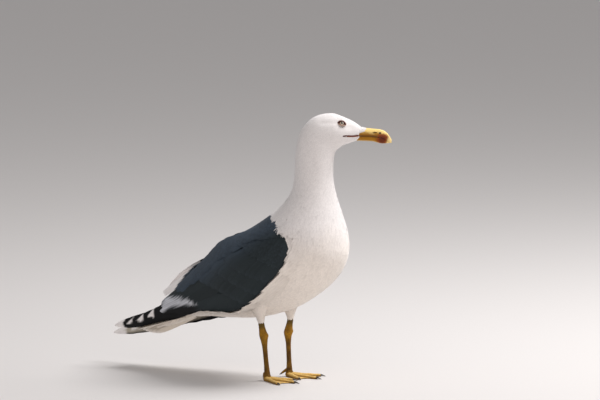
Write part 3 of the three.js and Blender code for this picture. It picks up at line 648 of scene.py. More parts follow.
# ---------------------------------------------------------------- materials
class Value:
    """A shader socket that takes part in sums; each operation adds one Math node."""

    def __init__(self, graph, socket):
        self.graph, self.socket = graph, socket

    def math(self, operation, *others):
        """One Math node on this socket and the others."""
        return self.graph.node("ShaderNodeMath", {"operation": operation}, [self, *others])

    def __add__(self, other):
        return self.math("ADD", other)

    def __sub__(self, other):
        return self.math("SUBTRACT", other)

    def __rsub__(self, other):
        return self.graph.node("ShaderNodeMath", {"operation": "SUBTRACT"}, [other, self])

    def __mul__(self, other):
        return self.math("MULTIPLY", other)

    __radd__, __rmul__ = __add__, __mul__

    def clamped(self):
        """Kept between 0 and 1."""
        return self.math("MAXIMUM", 0.0).math("MINIMUM", 1.0)


class Graph:
    """Node tree of one material."""

    def __init__(self, name):
        self.material = bpy.data.materials.new(name)
        self.material.use_nodes = True
        self.tree = self.material.node_tree
        self.tree.nodes.clear()

    def node(self, kind, settings=None, values=None, output=0):
        """A node of that kind: settings first, then its sockets by place or by name. Returns
        the chosen output, or nothing for a node without one."""
        made = self.tree.nodes.new(kind)
        for key, setting in (settings or {}).items():
            setattr(made, key, setting)
        pairs = enumerate(values) if isinstance(values, list) else (values or {}).items()
        for key, value in pairs:
            if isinstance(value, Value):
                self.tree.links.new(value.socket, made.inputs[key])
            else:
                made.inputs[key].default_value = value
        return Value(self, made.outputs[output]) if made.outputs else None

    def read(self, name, output="Color"):
        """A layer of the mesh."""
        return self.node("ShaderNodeAttribute", {"attribute_name": name}, output=output)

    def place(self):
        """The point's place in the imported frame."""
        return self.node("ShaderNodeTexCoord", output="Object")

    def parts(self, vector):
        """The three numbers of a vector."""
        outputs = self.node("ShaderNodeSeparateXYZ", None, [vector]).socket.node.outputs
        return [Value(self, outputs[axis]) for axis in "XYZ"]

    def noise(self, vector, scale, detail=3.0):
        """Soft clouds, with as many finer octaves as the detail says."""
        values = {"Vector": vector, "Scale": scale, "Detail": detail}
        return self.node("ShaderNodeTexNoise", None, values, "Fac")

    def cells(self, vector, scale, feature):
        """Distance in rounded cells from their middles ("F1") or seams ("DISTANCE_TO_EDGE")."""
        values = {"Vector": vector, "Scale": scale}
        return self.node("ShaderNodeTexVoronoi", {"feature": feature}, values, "Distance")

    def stretched(self, vector, scale):
        """A vector times another, number by number."""
        return self.node("ShaderNodeVectorMath", {"operation": "MULTIPLY"}, [vector, scale])

    def tinted(self, level):
        """The piece's own tint times a number."""
        values = {0: self.read("tint"), "Scale": level}
        return self.node("ShaderNodeVectorMath", {"operation": "SCALE"}, values)

    def mixed(self, a, b, factor):
        """A colour between two."""
        settings = {"data_type": "RGBA", "blend_type": "MIX"}
        return self.node("ShaderNodeMix", settings, {0: factor, 6: a, 7: b}, output=2)

    def bump(self, height, distance, strength):
        """Normal of a relief, its height in units of the distance."""
        values = {"Height": height, "Distance": distance, "Strength": strength}
        return self.node("ShaderNodeBump", None, values)

    def surface(self, **sockets):
        """The finished material: one shader with those sockets, `_` for a space in a name."""
        values = {key.replace("_", " "): value for key, value in sockets.items()}
        shader = self.node("ShaderNodeBsdfPrincipled", None, values)
        self.node("ShaderNodeOutputMaterial", None, {"Surface": shader})
        return self.material


def plumage(name, rough, sheen, shine, barbs, contrast):
    """Feather vane: its tint, with fine barbs that slant from the shaft to both edges, soft
    unevenness over the body, and a little sheen from the loose barb ends. The "vane" layer
    holds the place across and along in mm, and a chance number of the feather."""
    g = Graph(name)
    vane = g.read("vane", "Vector")
    across, along, dice = g.parts(vane)
    ribs = (along * barbs - across.math("ABSOLUTE") * (barbs * 0.7) + dice * 40.0).math("SINE")
    streak = g.noise(g.stretched(vane, (0.9, 0.12, 60.0)), 1.0, 4.0)
    cloud = g.noise(g.place(), 46.0)
    level = 1.0 + (streak - 0.5) * contrast + (cloud - 0.5) * (contrast * 0.7) + ribs * 0.02
    colour = g.tinted(level)
    normal = g.bump(ribs * 0.35 + streak, 0.00006, 0.5)
    return g.surface(Base_Color=colour, Roughness=rough + (cloud - 0.5) * 0.2, Normal=normal,
                     Sheen_Weight=sheen, Sheen_Roughness=0.5, Specular_IOR_Level=shine)


def down():
    """Skin between the feathers: the same tint, with a matt woolly nap."""
    g = Graph("down")
    nap = g.noise(g.place(), 900.0, 5.0)
    cloud = g.noise(g.place(), 60.0)
    colour = g.tinted(0.92 + (cloud - 0.5) * 0.16 + (nap - 0.5) * 0.12)
    return g.surface(Base_Color=colour, Roughness=0.95 - nap * 0.1, Normal=g.bump(nap, 0.0006, 0.6),
                     Specular_IOR_Level=0.15)


def bill_horn():
    """Smooth horn: its tint, streaked and clouded, with fine scratches and worn dull places."""
    g = Graph("bill_horn")
    place = g.place()
    cloud = g.noise(place, 160.0, 4.0)
    streak = g.noise(g.stretched(place, (120.0, 120.0, 900.0)), 1.0)
    pits = g.noise(place, 1500.0, 2.0)
    colour = g.tinted(0.84 + cloud * 0.22 + streak * 0.12)
    rough = 0.3 + cloud * 0.16 + (pits - 0.5) * 0.1
    normal = g.bump(streak + pits * 0.5, 0.00012, 0.5)
    return g.surface(Base_Color=colour, Roughness=rough, Normal=normal, Coat_Weight=0.04,
                     Coat_Roughness=0.3, Specular_IOR_Level=0.2)


def leg_skin():
    """Scaly skin: small rounded scales, paler on top and dark and dirty between them."""
    g = Graph("leg_skin")
    place = g.place()
    seam = 1.0 - (g.cells(place, 620.0, "DISTANCE_TO_EDGE") * 9.0).clamped()
    cloud = g.noise(place, 130.0, 4.0)
    grime = g.noise(place, 420.0, 4.0)
    level = 0.72 + cloud * 0.5 + (grime - 0.5) * 0.35
    colour = g.tinted(level * (1.0 - seam * 0.35))
    height = (1.0 - seam) * 0.8 + grime * 0.3
    return g.surface(Base_Color=colour, Roughness=0.5 + seam * 0.25 + (cloud - 0.5) * 0.15,
                     Normal=g.bump(height, 0.00035, 0.6), Specular_IOR_Level=0.2)


def claw_horn():
    """Dark horn, paler and worn at its ridges, with lengthwise grain."""
    g = Graph("claw_horn")
    place = g.place()
    grain = g.noise(g.stretched(place, (700.0, 700.0, 2400.0)), 1.0)
    cloud = g.noise(place, 320.0)
    worn = (cloud * 1.3 - 0.35 + grain * 0.3).clamped()
    colour = g.mixed((0.012, 0.010, 0.009, 1), (0.075, 0.055, 0.038, 1), worn)
    return g.surface(Base_Color=colour, Roughness=0.32 + grain * 0.2, Normal=g.bump(grain, 0.0001, 0.5),
                     Coat_Weight=0.2, Coat_Roughness=0.3)


def wet_eye():
    """Eye: its tint with radial flecks in the iris, under a clear wet coat."""
    g = Graph("eye")
    flecks = g.noise(g.place(), 2600.0, 4.0)
    colour = g.tinted(0.8 + flecks * 0.4)
    return g.surface(Base_Color=colour, Roughness=0.12 + flecks * 0.04, Coat_Weight=1.0,
                     Coat_Roughness=0.02, Specular_IOR_Level=0.6)


def bare_skin():
    """Fleshy red skin of the lids and the corner of the mouth, finely pimpled."""
    g = Graph("bare_skin")
    pimples = g.cells(g.place(), 1500.0, "F1")
    cloud = g.noise(g.place(), 500.0)
    colour = g.tinted(0.75 + cloud * 0.4 - pimples * 0.2)
    return g.surface(Base_Color=colour, Roughness=0.42 + cloud * 0.1,
                     Normal=g.bump(1.0 - pimples, 0.0002, 0.7), Coat_Weight=0.05, Coat_Roughness=0.3,
                     Specular_IOR_Level=0.2)


# A coat is its material and the name of a slot, which nothing reads.
WHITE_COAT = (plumage("white_plumage", rough=0.85, sheen=0.3, shine=0.25, barbs=7.0, contrast=0.08),
              "white_feathers")
SLATE_COAT = (plumage("slate_plumage", rough=0.66, sheen=0.02, shine=0.18, barbs=8.0, contrast=0.22),
              "slate_feathers")
DOWN, BILL, LEG, CLAW = down(), bill_horn(), leg_skin(), claw_horn()
WET_EYE, BARE_SKIN = wet_eye(), bare_skin()


# ---------------------------------------------------------------- markings
def above(plane, points):
    """Height of points over a plane, given by a point and a normal."""
    return (points - plane[0]) @ (plane[1] / np.linalg.norm(plane[1]))


def slate_share(points):
    """1 on the dark back, 0 on the white, with an uneven edge."""
    front = above(MANTLE_FRONT, points) - 8 + 0.32 * np.abs(points[..., 1])
    depth = np.minimum(np.minimum(above(MANTLE_UNDER, points), front), points[..., 0] + 148)
    return smooth((depth + 1.8 * ripple(points, 17, 4) + 2.5) / 3)[..., None]


def white_tint(points):
    """White plumage, with painted warm bounce light on the lower breast, belly and flanks."""
    low = smooth((236 - points[..., 2] + 6 * ripple(points, 60, 9)) / 75)[..., None]
    # Painted warm bounce light on the lower body.
    return blend(WHITE, WHITE_WARM_BOUNCE, low)


def white_feather(group, dice):
    """White, greyer toward the feather's root, partly its own grey base and partly painted shade
    under the overlapping feathers, and from feather to feather.
    """
    # Own grey base and painted shade under the overlapping feathers.
    grown = smooth((group["along"][..., None] - 0.66) / 0.32)
    return white_tint(group["points"]) * (0.925 + 0.075 * dice[..., None]) * (0.905 + 0.115 * grown)


def body_tint(group, dice):
    """Each feather takes the marking near its tip; slate ones carry painted sky light and have a paler
    edge.
    """
    dark = slate_share(group["mark"])
    edge = smooth((group["along"][..., None] - 0.8) / 0.2) * 0.7
    # Painted sky light: the mantle's slate is the paler, bluer one.
    slate = blend(SLATE_SKY_LIT, SLATE_EDGE, edge) * (0.85 + 0.3 * dice[..., None])
    return blend(white_feather(group, dice), slate, dark)


def toward(colour, tip, start=0.85):
    """Tint of one colour that turns into another from `start` of the vane to its tip."""
    def tint(group, dice):
        end = smooth((group["along"][..., None] - start) / (1 - start))
        return blend(colour, tip, 0.6 * end) * (0.9 + 0.2 * dice[..., None])
    return tint


# ---------------------------------------------------------------- coat of the body
SKIN = flesh_sheet()


# Steps between roots and between rows that spread the places left out without a pattern.
SPREAD = (0.618, 0.755)


def rows_over(sheet, low, high, size, tight):
    """Roots in staggered, jittered rows down a sheet. A row is `tight[0]` lengths past the
    last and its roots `tight[1]` half widths apart where the sheet is widest stretched;
    elsewhere some are left out, so that they stand evenly."""
    along = np.linalg.norm(sheet.table[..., 3:6], axis=-1)
    around = np.linalg.norm(sheet.table[..., 6:9], axis=-1)
    place = sheet.start[0] + sheet.step[0] * np.arange(len(along))
    roots, u, k = [], low, 0
    while u < high:
        row = np.argmin(np.abs(place - u))
        length, half = size(u)
        span_v = 1.0 if sheet.closed else sheet.step[1] * (along.shape[1] - 1)
        count = int(np.ceil(around[row].max() * span_v / (tight[1] * half)))
        v = (np.arange(count) + 0.5 * (k % 2) + chance.uniform(-0.28, 0.28, count)) / count
        column = np.clip((v % 1 * along.shape[1]).astype(int), 0, along.shape[1] - 1)
        even = around[row, column] * along[row, column] / (around[row].max() * along[row].max())
        keep = (np.arange(count) * SPREAD[0] + k * SPREAD[1]) % 1 < even
        step = tight[0] * length / along[row].max()
        jitter = chance.uniform(-0.3, 0.3, count) * step
        v = v[keep] if sheet.closed else sheet.start[1] + v[keep] * span_v
        roots.append(np.stack([u + jitter[keep], v], -1))
        u += step
        k += 1
    return np.concatenate(roots)


def under_wing(points):
    """Whether points on the body lie well inside a folded wing's outline, seen from the side."""
    ring = np.concatenate([WING_UPPER[:7], WING_LOWER[:7][::-1]])[:, [0, 2]]
    ring = ring.mean(0) + (ring - ring.mean(0)) * 0.86
    x, z = points[..., 0], points[..., 2]
    inside = np.zeros(x.shape, bool)
    for (ax, az), (bx, bz) in zip(ring, np.roll(ring, -1, 0)):
        crosses = (az > z) != (bz > z)
        inside ^= crosses & (x < ax + (z - az) / (bz - az + 1e-9) * (bx - ax))
    return inside & (np.abs(points[..., 1]) > 14)


def body_coat():
    """All feathers of the body: root (u, v), its point, and depth, length and half width.
    They grow short toward an eye, and there are none on it or under a wing."""
    roots = np.concatenate([
        rows_over(SKIN, low, high, lambda t: coat_size(t)[1:], (0.24, apart))
        for low, high, apart in ((0.55, 6.0, 0.85), (6.0, 10.0, 0.85), (10.0, 20.6, 0.8))
    ])
    points = SKIN.read(roots)[0]
    sizes = coat_size(roots[:, 0])
    for side in SIDE_WORD:
        eye, axis, ahead, up = eye_frame(side)
        near = points - eye
        off = np.linalg.norm(near - (near @ axis)[:, None] * axis, axis=-1)
        facing = near @ axis > -4
        ahead_of = smooth((near @ ahead + 3) / 5)
        limit = np.where(facing, 1.5 + 0.5 * np.maximum(off - 5, 0) + 8 * (1 - ahead_of), 99)
        sizes[:, 1] = np.minimum(sizes[:, 1], limit)
        low = blend(0.6, 1, smooth((off - 5) / 4))
        sizes[:, 0] = sizes[:, 0] * np.where(facing, low, 1)
        keep = ~(facing & (np.hypot(near @ ahead, near @ up * 1.3) < EYE_BARE))
        roots, points, sizes = roots[keep], points[keep], sizes[keep]
    keep = ~under_wing(points)
    return roots[keep], points[keep], sizes[keep]


ROOTS, ROOT_POINTS, SIZES = body_coat()


def laid(select, outline, rings=5, wider=1.25, thick=0.16, stand=0.0):
    """Vanes for the chosen roots of the body's coat. They rise from the skin to its depth and
    lie flat there; `stand` mm more or less in soft lumps."""
    roots, (depth, length, half) = ROOTS[select], SIZES[select].T
    count = len(roots)
    length = length * chance.uniform(0.84, 1.14, count)
    turn = np.radians(chance.uniform(-9, 9, count))
    f = np.linspace(0, 1, rings)
    lump = stand * ripple(ROOT_POINTS[select], 34, 7)
    top = depth * chance.uniform(0.982, 1.012, count) + lump
    base = np.maximum(-0.35, top - 0.13 * length)
    rise = blend(base[:, None], top[:, None], 1 - (1 - f) ** 2) - 0.05 * f**6
    middle = walk(SKIN, roots, turn, length, rings)
    half = half * wider * chance.uniform(0.85, 1.15, count)
    return vanes(SKIN, middle, half, rise, outline, LEAF, thick, camber=0.03)


def between(low, high):
    """Whether each root of the coat lies from one station up to another."""
    return (ROOTS[:, 0] >= low) & (ROOTS[:, 0] < high)


# Feathers whose marking, three quarters of the way along them, is the dark back's, and those
# below a slanting line from the rump to the breast.
TIPS = walk(SKIN, ROOTS, 0 * ROOTS[:, 0], SIZES[:, 1] * 0.75, 3)[0][:, -1]
DARK = slate_share(SKIN.read(TIPS)[0])[:, 0] > 0.5
LOW = ROOT_POINTS[:, 2] < np.interp(ROOT_POINTS[:, 0], [-180, 110], [92, 190])
for label, chosen, options in [
    ("coat_face", between(0, 3.3), {"thick": 0.08}),
    ("coat_crown", between(3.3, 6), {"thick": 0.1}),
    ("coat_nape", between(6, 8), {"thick": 0.12}),
    ("coat_neck", between(8, 10), {"thick": 0.14}),
    ("coat_breast", between(10, 12.5) & ~DARK & ~LOW, {"stand": 0.15}),
    ("coat_chest", between(12.5, 22) & ~DARK & ~LOW, {"stand": 0.2}),
    ("coat_belly", between(10, 22) & ~DARK & LOW, {"stand": 0.25}),
]:
    plumes(label, [laid(chosen, "wisp", **options)], body_tint, WHITE_COAT)
MANTLE_COAT = laid(between(10, 22) & DARK, "round", rings=6, wider=1.5, thick=0.22, stand=0.2)
plumes("coat_mantle", [MANTLE_COAT], body_tint, SLATE_COAT)


# ---------------------------------------------------------------- thighs and tail
def strewn(sheet, low, high, length, half, tight, v_range=(-np.inf, np.inf)):
    """Roots in rows for feathers of one size on a sheet, kept where v lies in the range."""
    roots = rows_over(sheet, low, high, lambda u: (length, half), tight)
    return roots[(roots[:, 1] >= v_range[0]) & (roots[:, 1] <= v_range[1])]


def laid_on(sheet, roots, length, half, rise, outline, section=BLADE, rings=6, camber=0.06,
            thick=0.35, turn=6.0):
    """Vanes of one size on a sheet, each rising from `rise[0]` to `rise[1]` mm over it."""
    count = len(roots)
    length = np.broadcast_to(length, count) * chance.uniform(0.88, 1.1, count)
    f = np.linspace(0, 1, rings)
    top = np.broadcast_to(rise[1], count) * chance.uniform(0.85, 1.1, count)
    middle = walk(sheet, roots, np.radians(chance.uniform(-turn, turn, count)), length, rings)
    half = np.broadcast_to(half, count) * chance.uniform(0.9, 1.1, count)
    return vanes(sheet, middle, half, blend(rise[0], top[:, None], f**0.6), outline, section,
                 thick, camber)


def thigh_coat(side):
    """Short fluffy plumage of a thigh, down over the top of the bare leg."""
    sheet = thigh_sheet(side)
    roots = strewn(sheet, 0, 40, 9.5, 1.5, (0.24, 0.9))
    group = laid_on(sheet, roots, 9.5, 1.2, (-0.3, 1.4), "wisp", LEAF, rings=5, camber=0.04,
                    thick=0.14, turn=14.0)
    plumes("coat_thigh_" + SIDE_WORD[side], [group], body_tint, WHITE_COAT)


def tail_quills(sheet, length):
    """Twelve tail feathers in a fan, the middle pair on top and the outer ones shorter."""
    groups = []
    rings = 26
    for side in SIDE_WORD:
        i = np.arange(TAIL["pairs"])
        yaw = TAIL["fan"] * (i + 0.5) / TAIL["pairs"]
        reach = length - TAIL["shorter"] * ((i + 0.5) / TAIL["pairs"]) ** 2
        start = TAIL["spread"] * (i + 0.5)
        root = np.stack([i * 0.0, side * start], -1)
        tip = np.stack([reach * np.cos(yaw), side * (start + reach * np.sin(yaw))], -1)
        drop = TAIL["stack"] * (i + (0.5 if side > 0 else 0))
        groups.append(vanes(sheet, span(sheet, root, tip, rings), TAIL["half"], -drop[:, None],
                            "round", BLADE, thick=0.3, camber=0.02, fray=0.03))
    # Painted shade with warm bounce light: the quills are cream, turning to white toward their tips,
    # which reach out of the wing's shadow.
    plumes("tail_quills", groups, toward(TAIL_SHADED_CREAM, WHITE), WHITE_COAT, ["tail"])


def tail_coverts(sheet, core):
    """Short feathers round the tail's root, and longer ones that drape from the rump over the
    tail: high over its plane at its root, and lower along it and to both sides."""
    roots = strewn(core, -6, 40, 22, 3.6, (0.2, 0.75))
    group = laid_on(core, roots, 22, 3.4, (-0.3, 1.9), "leaf", LEAF, camber=0.05, thick=0.25,
                    turn=8.0)
    roots = strewn(sheet, 8, 36, 12, 5, (0.4, 0.5), (-8.5, 8.5))
    count, length, rings = len(roots), 36.0, 10
    turn = np.radians(chance.uniform(-5, 5, count))
    middle = walk(sheet, roots, turn, np.full(count, length), rings)
    u, v = np.moveaxis(middle[0], -1, 0)
    drape = np.interp(u, [8, 28, 60, 80], [22.5, 15.5, 3.0, 0.8])
    drape = drape - 0.03 * v**2 * np.interp(u, [10, 60], [1, 0.6])
    drape = drape + np.linspace(0, 0.6, rings)
    over_rump = vanes(sheet, middle, chance.uniform(4.5, 6, count), drape, "round", BLADE,
                      thick=0.3, camber=0.05)
    # Painted shade with warm bounce light: the coverts' cream lies between the tail's shaded cream and
    # the warm bounce-lit white.
    shaded_cream = blend(TAIL_SHADED_CREAM, WHITE_WARM_BOUNCE, 0.5)
    plumes("tail_coverts", [group, over_rump], toward(shaded_cream, shaded_cream), WHITE_COAT)


# ---------------------------------------------------------------- wings
def row_between(sheet, count, roots, tips, half, rise, outline, rings, thick=0.4, stack=0.0,
                louvre=0.0, uneven=0.04, section=QUILL):
    """A row of quill feathers whose roots and tips run evenly through some places (s, q)."""
    def evenly(knots):
        place, rows = np.linspace(0, len(knots) - 1, count), np.arange(len(knots))
        return np.stack([np.interp(place, rows, column) for column in np.array(knots).T], -1)

    root, tip = evenly(roots), evenly(tips)
    tip[:, 0] += uneven * np.sin(2.4 * np.arange(count))
    drop = stack * np.arange(count)[:, None]
    rise = blend(rise[0] - 0.4 * drop, rise[1] - drop, np.linspace(0, 1, rings) ** 0.7)
    return vanes(sheet, span(sheet, root, tip, rings), half, rise, outline, section, thick,
                 camber=0.05, louvre=louvre, fray=0.02)


# Outlines of the wing's white and black markings as places (s, q).
TERTIAL_PATCH = np.array([
    [6.54, 0.36], [6.78, 0.56], [6.72, 0.66], [6.43, 0.54], [6.23, 0.55], [6.01, 0.62], [5.78, 0.66],
    [5.55, 0.74], [5.36, 0.76], [5.47, 0.64], [5.52, 0.55], [5.72, 0.46], [5.81, 0.32], [5.95, 0.2],
    [6.1, 0.1], [6.3, 0.1],
])
LOOSE_RIM = np.array([
    [4.5, -0.3], [4.6, 0.03], [5.1, 0.055], [5.6, 0.08], [6.0, 0.1], [6.3, 0.13], [6.7, 0.13],
    [6.7, -0.3],
])
QUILL_BLACK = np.array([[-0.3, 6.9], [0.2, 6.85], [0.5, 6.7], [0.62, 5.9], [0.8, 5.3], [1.3, 5.6]])
PRIMARY_SPOTS = [np.array(spot) for spot in (
    [[7.15, 0.58], [7.03, 0.72], [6.78, 0.27]], [[7.52, 0.7], [7.39, 0.8], [7.16, 0.33]],
    [[7.8, 0.76], [7.7, 0.86], [7.52, 0.4]],
    [[7.86, 0.3], [7.8, 0.46], [7.92, 0.8], [7.86, 1.2], [8.5, 1.2], [8.5, 0.3]],
)]


def within(outline, s, q, soft):
    """Share of places that lie in a closed outline; it fades over `soft` of s at the edge."""
    inside, near = np.zeros(s.shape, bool), np.full(s.shape, 9.0)
    for a, b in zip(outline, np.roll(outline, -1, 0)):
        run_s, run_q = b - a
        f = np.clip(((s - a[0]) * run_s + (q - a[1]) * run_q) / (run_s**2 + run_q**2), 0, 1)
        near = np.minimum(near, np.hypot(s - a[0] - f * run_s, q - a[1] - f * run_q))
        crosses = (a[1] > q) != (b[1] > q)
        inside ^= crosses & (s < a[0] + (q - a[1]) / (run_q + 1e-12) * run_s)
    return smooth(0.5 + np.where(inside, near, -near) / soft)


def quill_tint(loose):
    """Slate that turns black at the wing's lower rear, with a white patch, greyed and blued as
    painted shade, frayed along the barbs and, on the looser wing, a white upper rim."""
    def tint(group, dice):
        s, q = group["uv"][..., 0], group["uv"][..., 1]
        across = group["across"]
        fray = 0.06 * np.sin(across * 9 + dice * 40) + 0.05 * np.sin(across * 31 + dice * 90)
        dark = smooth((s - np.interp(q, *QUILL_BLACK.T) + 2 * fray) / 0.5)
        grey = 0.9 + 0.1 * np.sin(across * 23 + dice * 9) + 0.05 * np.sin(across * 57 + dice * 30)
        layers = [(BLACK * 1.3, dark),
                  # Painted shade: the patch's white is the greyed, bluish one.
                  (PATCH_SHADED_WHITE * grey[..., None], within(TERTIAL_PATCH, s + fray, q + 0.3 * fray, 0.12))]
        if loose:
            layers.append((WHITE, within(LOOSE_RIM, s, q + 0.1 * fray, 0.03)))
        return layered(SLATE * (0.85 + 0.3 * dice[..., None]), layers)
    return tint


def rim_tint(group, dice):
    """White along the ridge of the rolled edge, wider toward the wing's rear and brightened past white
    as painted sunlight, then slate with painted sky light.
    """
    s, v = group["uv"][..., 0], group["uv"][..., 1]
    fray = 0.25 * np.sin(group["across"] * 9 + dice * 30)
    edge = np.interp(s, [4.4, 4.9, 5.3, 5.6, 5.9], [0.2, 1.3, 2.1, 3, 4])
    pale = smooth((edge + v + fray) / 0.35)[..., None]
    # Painted light: the white is raised past the plumage's white, and the slate takes on the sky-lit
    # slate.
    return blend(blend(SLATE, SLATE_SKY_LIT, 0.7) * (0.85 + 0.3 * dice[..., None]), WHITE * 1.13, pale)


def covert_tint(group, dice):
    """Slate with painted sky light, paler and bluer toward the wing's upper edge, and a little paler at
    each feather's tip.
    """
    # Painted sky light, stronger toward the wing's upper edge.
    upper = smooth((0.62 - group["uv"][..., 1]) / 0.5)[..., None]
    rim = 0.35 * smooth((group["along"][..., None] - 0.85) / 0.15)
    return blend(blend(SLATE, SLATE_SKY_LIT, upper), SLATE_EDGE, rim) * (0.88 + 0.24 * dice[..., None])


def primary_tint(under):
    """Black quills with four separate white spots, and `under` as the colour of their inner
    face."""
    def tint(group, dice):
        s, q = group["uv"][..., 0], group["uv"][..., 1]
        fray = 0.012 * np.sin(group["across"] * 17 + dice * 40)
        pale = np.max([within(spot, s + fray, q + fray, 0.03) for spot in PRIMARY_SPOTS], axis=0)
        face = np.where(group["outer"][..., None], BLACK, under) * (0.8 + 0.4 * dice[..., None])
        return layered(face, [(WHITE * 1.08, pale)])
    return tint


# Lower limit q of the scapulars over s; they lap over the coverts there.
SCAPULAR_EDGE = np.array([[0.2, 0.62], [0.46, 0.6], [1.0, 0.47], [1.67, 0.33], [3.0, 0.3], [5.2, 0.24]])


def rim_sheet(side):
    """Upper edge of the looser wing, rolled over toward the back: over s, a curve from its
    outer face (v 0) across a ridge (v -1) and down inside (v -3)."""
    s, v = np.linspace(1.8, 6.8, 160), np.linspace(-3, 0, 46)
    outer, edge = [wing_sheet(side).read(np.stack([s, 0 * s + q], -1))[0] for q in (0.14, 0.02)]
    ridge = edge + [0, 0, 1.2]
    knots = np.stack([outer, ridge, ridge + [0, -8 * side, -5], ridge + [0, -13 * side, -15]])
    points = through(knots.reshape(4, -1), -v).reshape(len(v), len(s), 3).transpose(1, 0, 2)
    return Sheet(s, v, points, np.array([0, 0, 1.0]))


def wing_quills(side, sheet):
    """Primaries, the longest lowest, then secondaries and tertials. The looser wing's rear
    edge hangs open, and its primaries' inner face is pale beige, painted warm bounce light."""
    word, loose = SIDE_WORD[side], side > 0
    tips = [(6.8, 0.42), (7.09, 0.5), (7.44, 0.58), (7.74, 0.64), (7.96, 0.66), (8.12, 0.72)]
    primaries = row_between(sheet, 6, [(4.3, 0.5), (4.75, 0.84)], tips, 11, (-5, -1.8), "long", 64,
                            thick=0.6, stack=0.45, uneven=0)
    # Painted warm bounce light on the looser wing's inner face.
    plumes(f"wing_{word}_primaries", [primaries], primary_tint(UNDERSIDE_BOUNCE_BEIGE if loose else BLACK * 4),
           SLATE_COAT, [f"wing_{word}"])
    rear = [(6.85, 0.89), (6.2, 0.96)] if loose else [(6.45, 0.72), (5.9, 0.84)]
    tips = [*rear, (5.2, 0.93), (4.4, 0.97), (3.6, 0.99)]
    secondaries = row_between(sheet, 9, [(4.2, 0.66), (2.1, 0.86)], tips, 9.5, (-4.6, -1.5), "long",
                              30, louvre=-0.03)
    inner = 0.03 if loose else 0.12
    tips = [(6.36, inner + 0.03), (6.45, 0.3), (6.55, 0.45), (6.72, 0.6)]
    tertials = row_between(sheet, 8, [(3.4, inner), (3.0, 0.35), (2.9, 0.6)], tips, 10, (-3.2, -0.4),
                           "long", 40, louvre=-0.03)
    plumes(f"wing_{word}_quills", [secondaries, tertials], quill_tint(loose), SLATE_COAT)


def rolled_edge(side, rim):
    """Quills along the looser wing's upper edge, rolled over with it."""
    tips = [(6.2, -2.7), (6.32, -2.0), (6.42, -1.2), (6.44, -0.5)]
    rolled = row_between(rim, 6, [(3.3, -2.8), (3.2, -0.3)], tips, 6, (-1.4, 0.5), "long", 40,
                         uneven=0)
    plumes(f"wing_{SIDE_WORD[side]}_rolled_edge", [rolled], rim_tint, SLATE_COAT)


# Tiers of coverts, the rearmost first: how many, places (s, q) of roots and tips, half width,
# rise from root to tip, and rings of each.
COVERT_TIERS = [
    (19, [(1.7, 0.97), (3.0, 0.3)], [(3.1, 0.99), (4.4, 0.3)], 6.8, (-3.6, -0.1), 14),
    (20, [(1.1, 0.98), (2.4, 0.34)], [(2.35, 1.0), (3.6, 0.32)], 6.2, (-3.4, 0.1), 12),
    (22, [(0.6, 0.99), (1.8, 0.36)], [(1.7, 1.01), (2.85, 0.34)], 5.4, (-3.2, 0.25), 10),
]


def wing_coverts(side, sheet):
    """Coverts in three tiers, and the lesser ones of the shoulder, behind the breast's edge."""
    groups = [row_between(sheet, count, roots, tips, half, rise, "round", rings, thick=0.28,
                          louvre=-0.03, section=BLADE)
              for count, roots, tips, half, rise, rings in COVERT_TIERS]
    lesser = strewn(sheet, 0.05, 1.9, 17, 3.2, (0.24, 0.8), (-0.02, 1.02))
    s, q = lesser.T
    lesser = lesser[(s < 0.85 + 1.1 * (1 - np.clip(q, 0, 1))) & (s > 0.22 - 0.3 * q)]
    groups.append(laid_on(sheet, lesser, 18, 3.2, (-3.0, 0.4), "leaf", LEAF, camber=0.03,
                          thick=0.2))
    plumes(f"wing_{SIDE_WORD[side]}_coverts", groups, covert_tint, SLATE_COAT)


# What all scapulars share: broad, nearly flat vanes that lie almost alike.
SCAPULAR = {"outline": "round", "rings": 10, "camber": 0.03, "thick": 0.28, "turn": 3}


def scapulars(side, sheet, rim):
    """Scapulars from the shoulder back, longer toward the rear, and over the rolled edge."""
    roots = strewn(sheet, 0.1, 2.4 if side > 0 else 4.7, 30, 6, (0.16, 0.5), (0.0, 0.6))
    roots = roots[roots[:, 1] < np.interp(roots[:, 0] + 0.4, *SCAPULAR_EDGE.T) - 0.06]
    grown = 0.62 + 0.5 * smooth(roots[:, 0] / 3)
    lift = blend(1.7, 0.3, smooth((roots[:, 0] - 0.6) / 1.3))
    groups = [laid_on(sheet, roots, 34 * grown, 6 * grown, (-3, lift), **SCAPULAR)]
    if rim:
        roots = strewn(rim, 2.0, 3.7, 26, 5, (0.18, 0.5), (-2.5, -0.1))
        groups.append(laid_on(rim, roots, 30, 5, (-3, 1.1), **SCAPULAR))
    plumes(f"scapulars_{SIDE_WORD[side]}", groups, covert_tint, SLATE_COAT)


def wing(side):
    """A folded wing from its tip to its shoulder: quills first, then coverts in tiers, then
    the scapulars, and white breast plumage that laps over its front and lower edge."""
    sheet = wing_sheet(side)
    rim = rim_sheet(side) if side > 0 else None
    wing_quills(side, sheet)
    if rim:
        rolled_edge(side, rim)
    wing_coverts(side, sheet)
    scapulars(side, sheet, rim)
    plumes(f"flank_{SIDE_WORD[side]}", [flank(side)], white_feather, WHITE_COAT)


# Border of the dark wing as places (s, q): down its front, round its corner, back below.
WING_BORDER = np.array([
    [0.34, -0.12], [0.34, 0.1], [0.34, 0.35], [0.22, 0.62], [0.09, 0.84], [0.07, 1.0], [0.5, 1.06],
    [1.2, 1.07], [2.2, 1.05], [3.0, 1.03], [3.8, 1.04], [4.7, 1.01], [5.6, 1.02],
])


# Under the shoulder, up to this length along the border, its sheet folds on itself deeper in
# than this v, so that no feathers grow there.
FOLD = (40, -12)


def averaged(rows, reach):
    """Rows smoothed by a moving mean over `reach` neighbours to each side."""
    padded = np.concatenate([np.repeat(rows[:1], reach, 0), rows, np.repeat(rows[-1:], reach, 0)])
    return np.mean([padded[k:k + len(rows)] for k in range(2 * reach + 1)], axis=0)


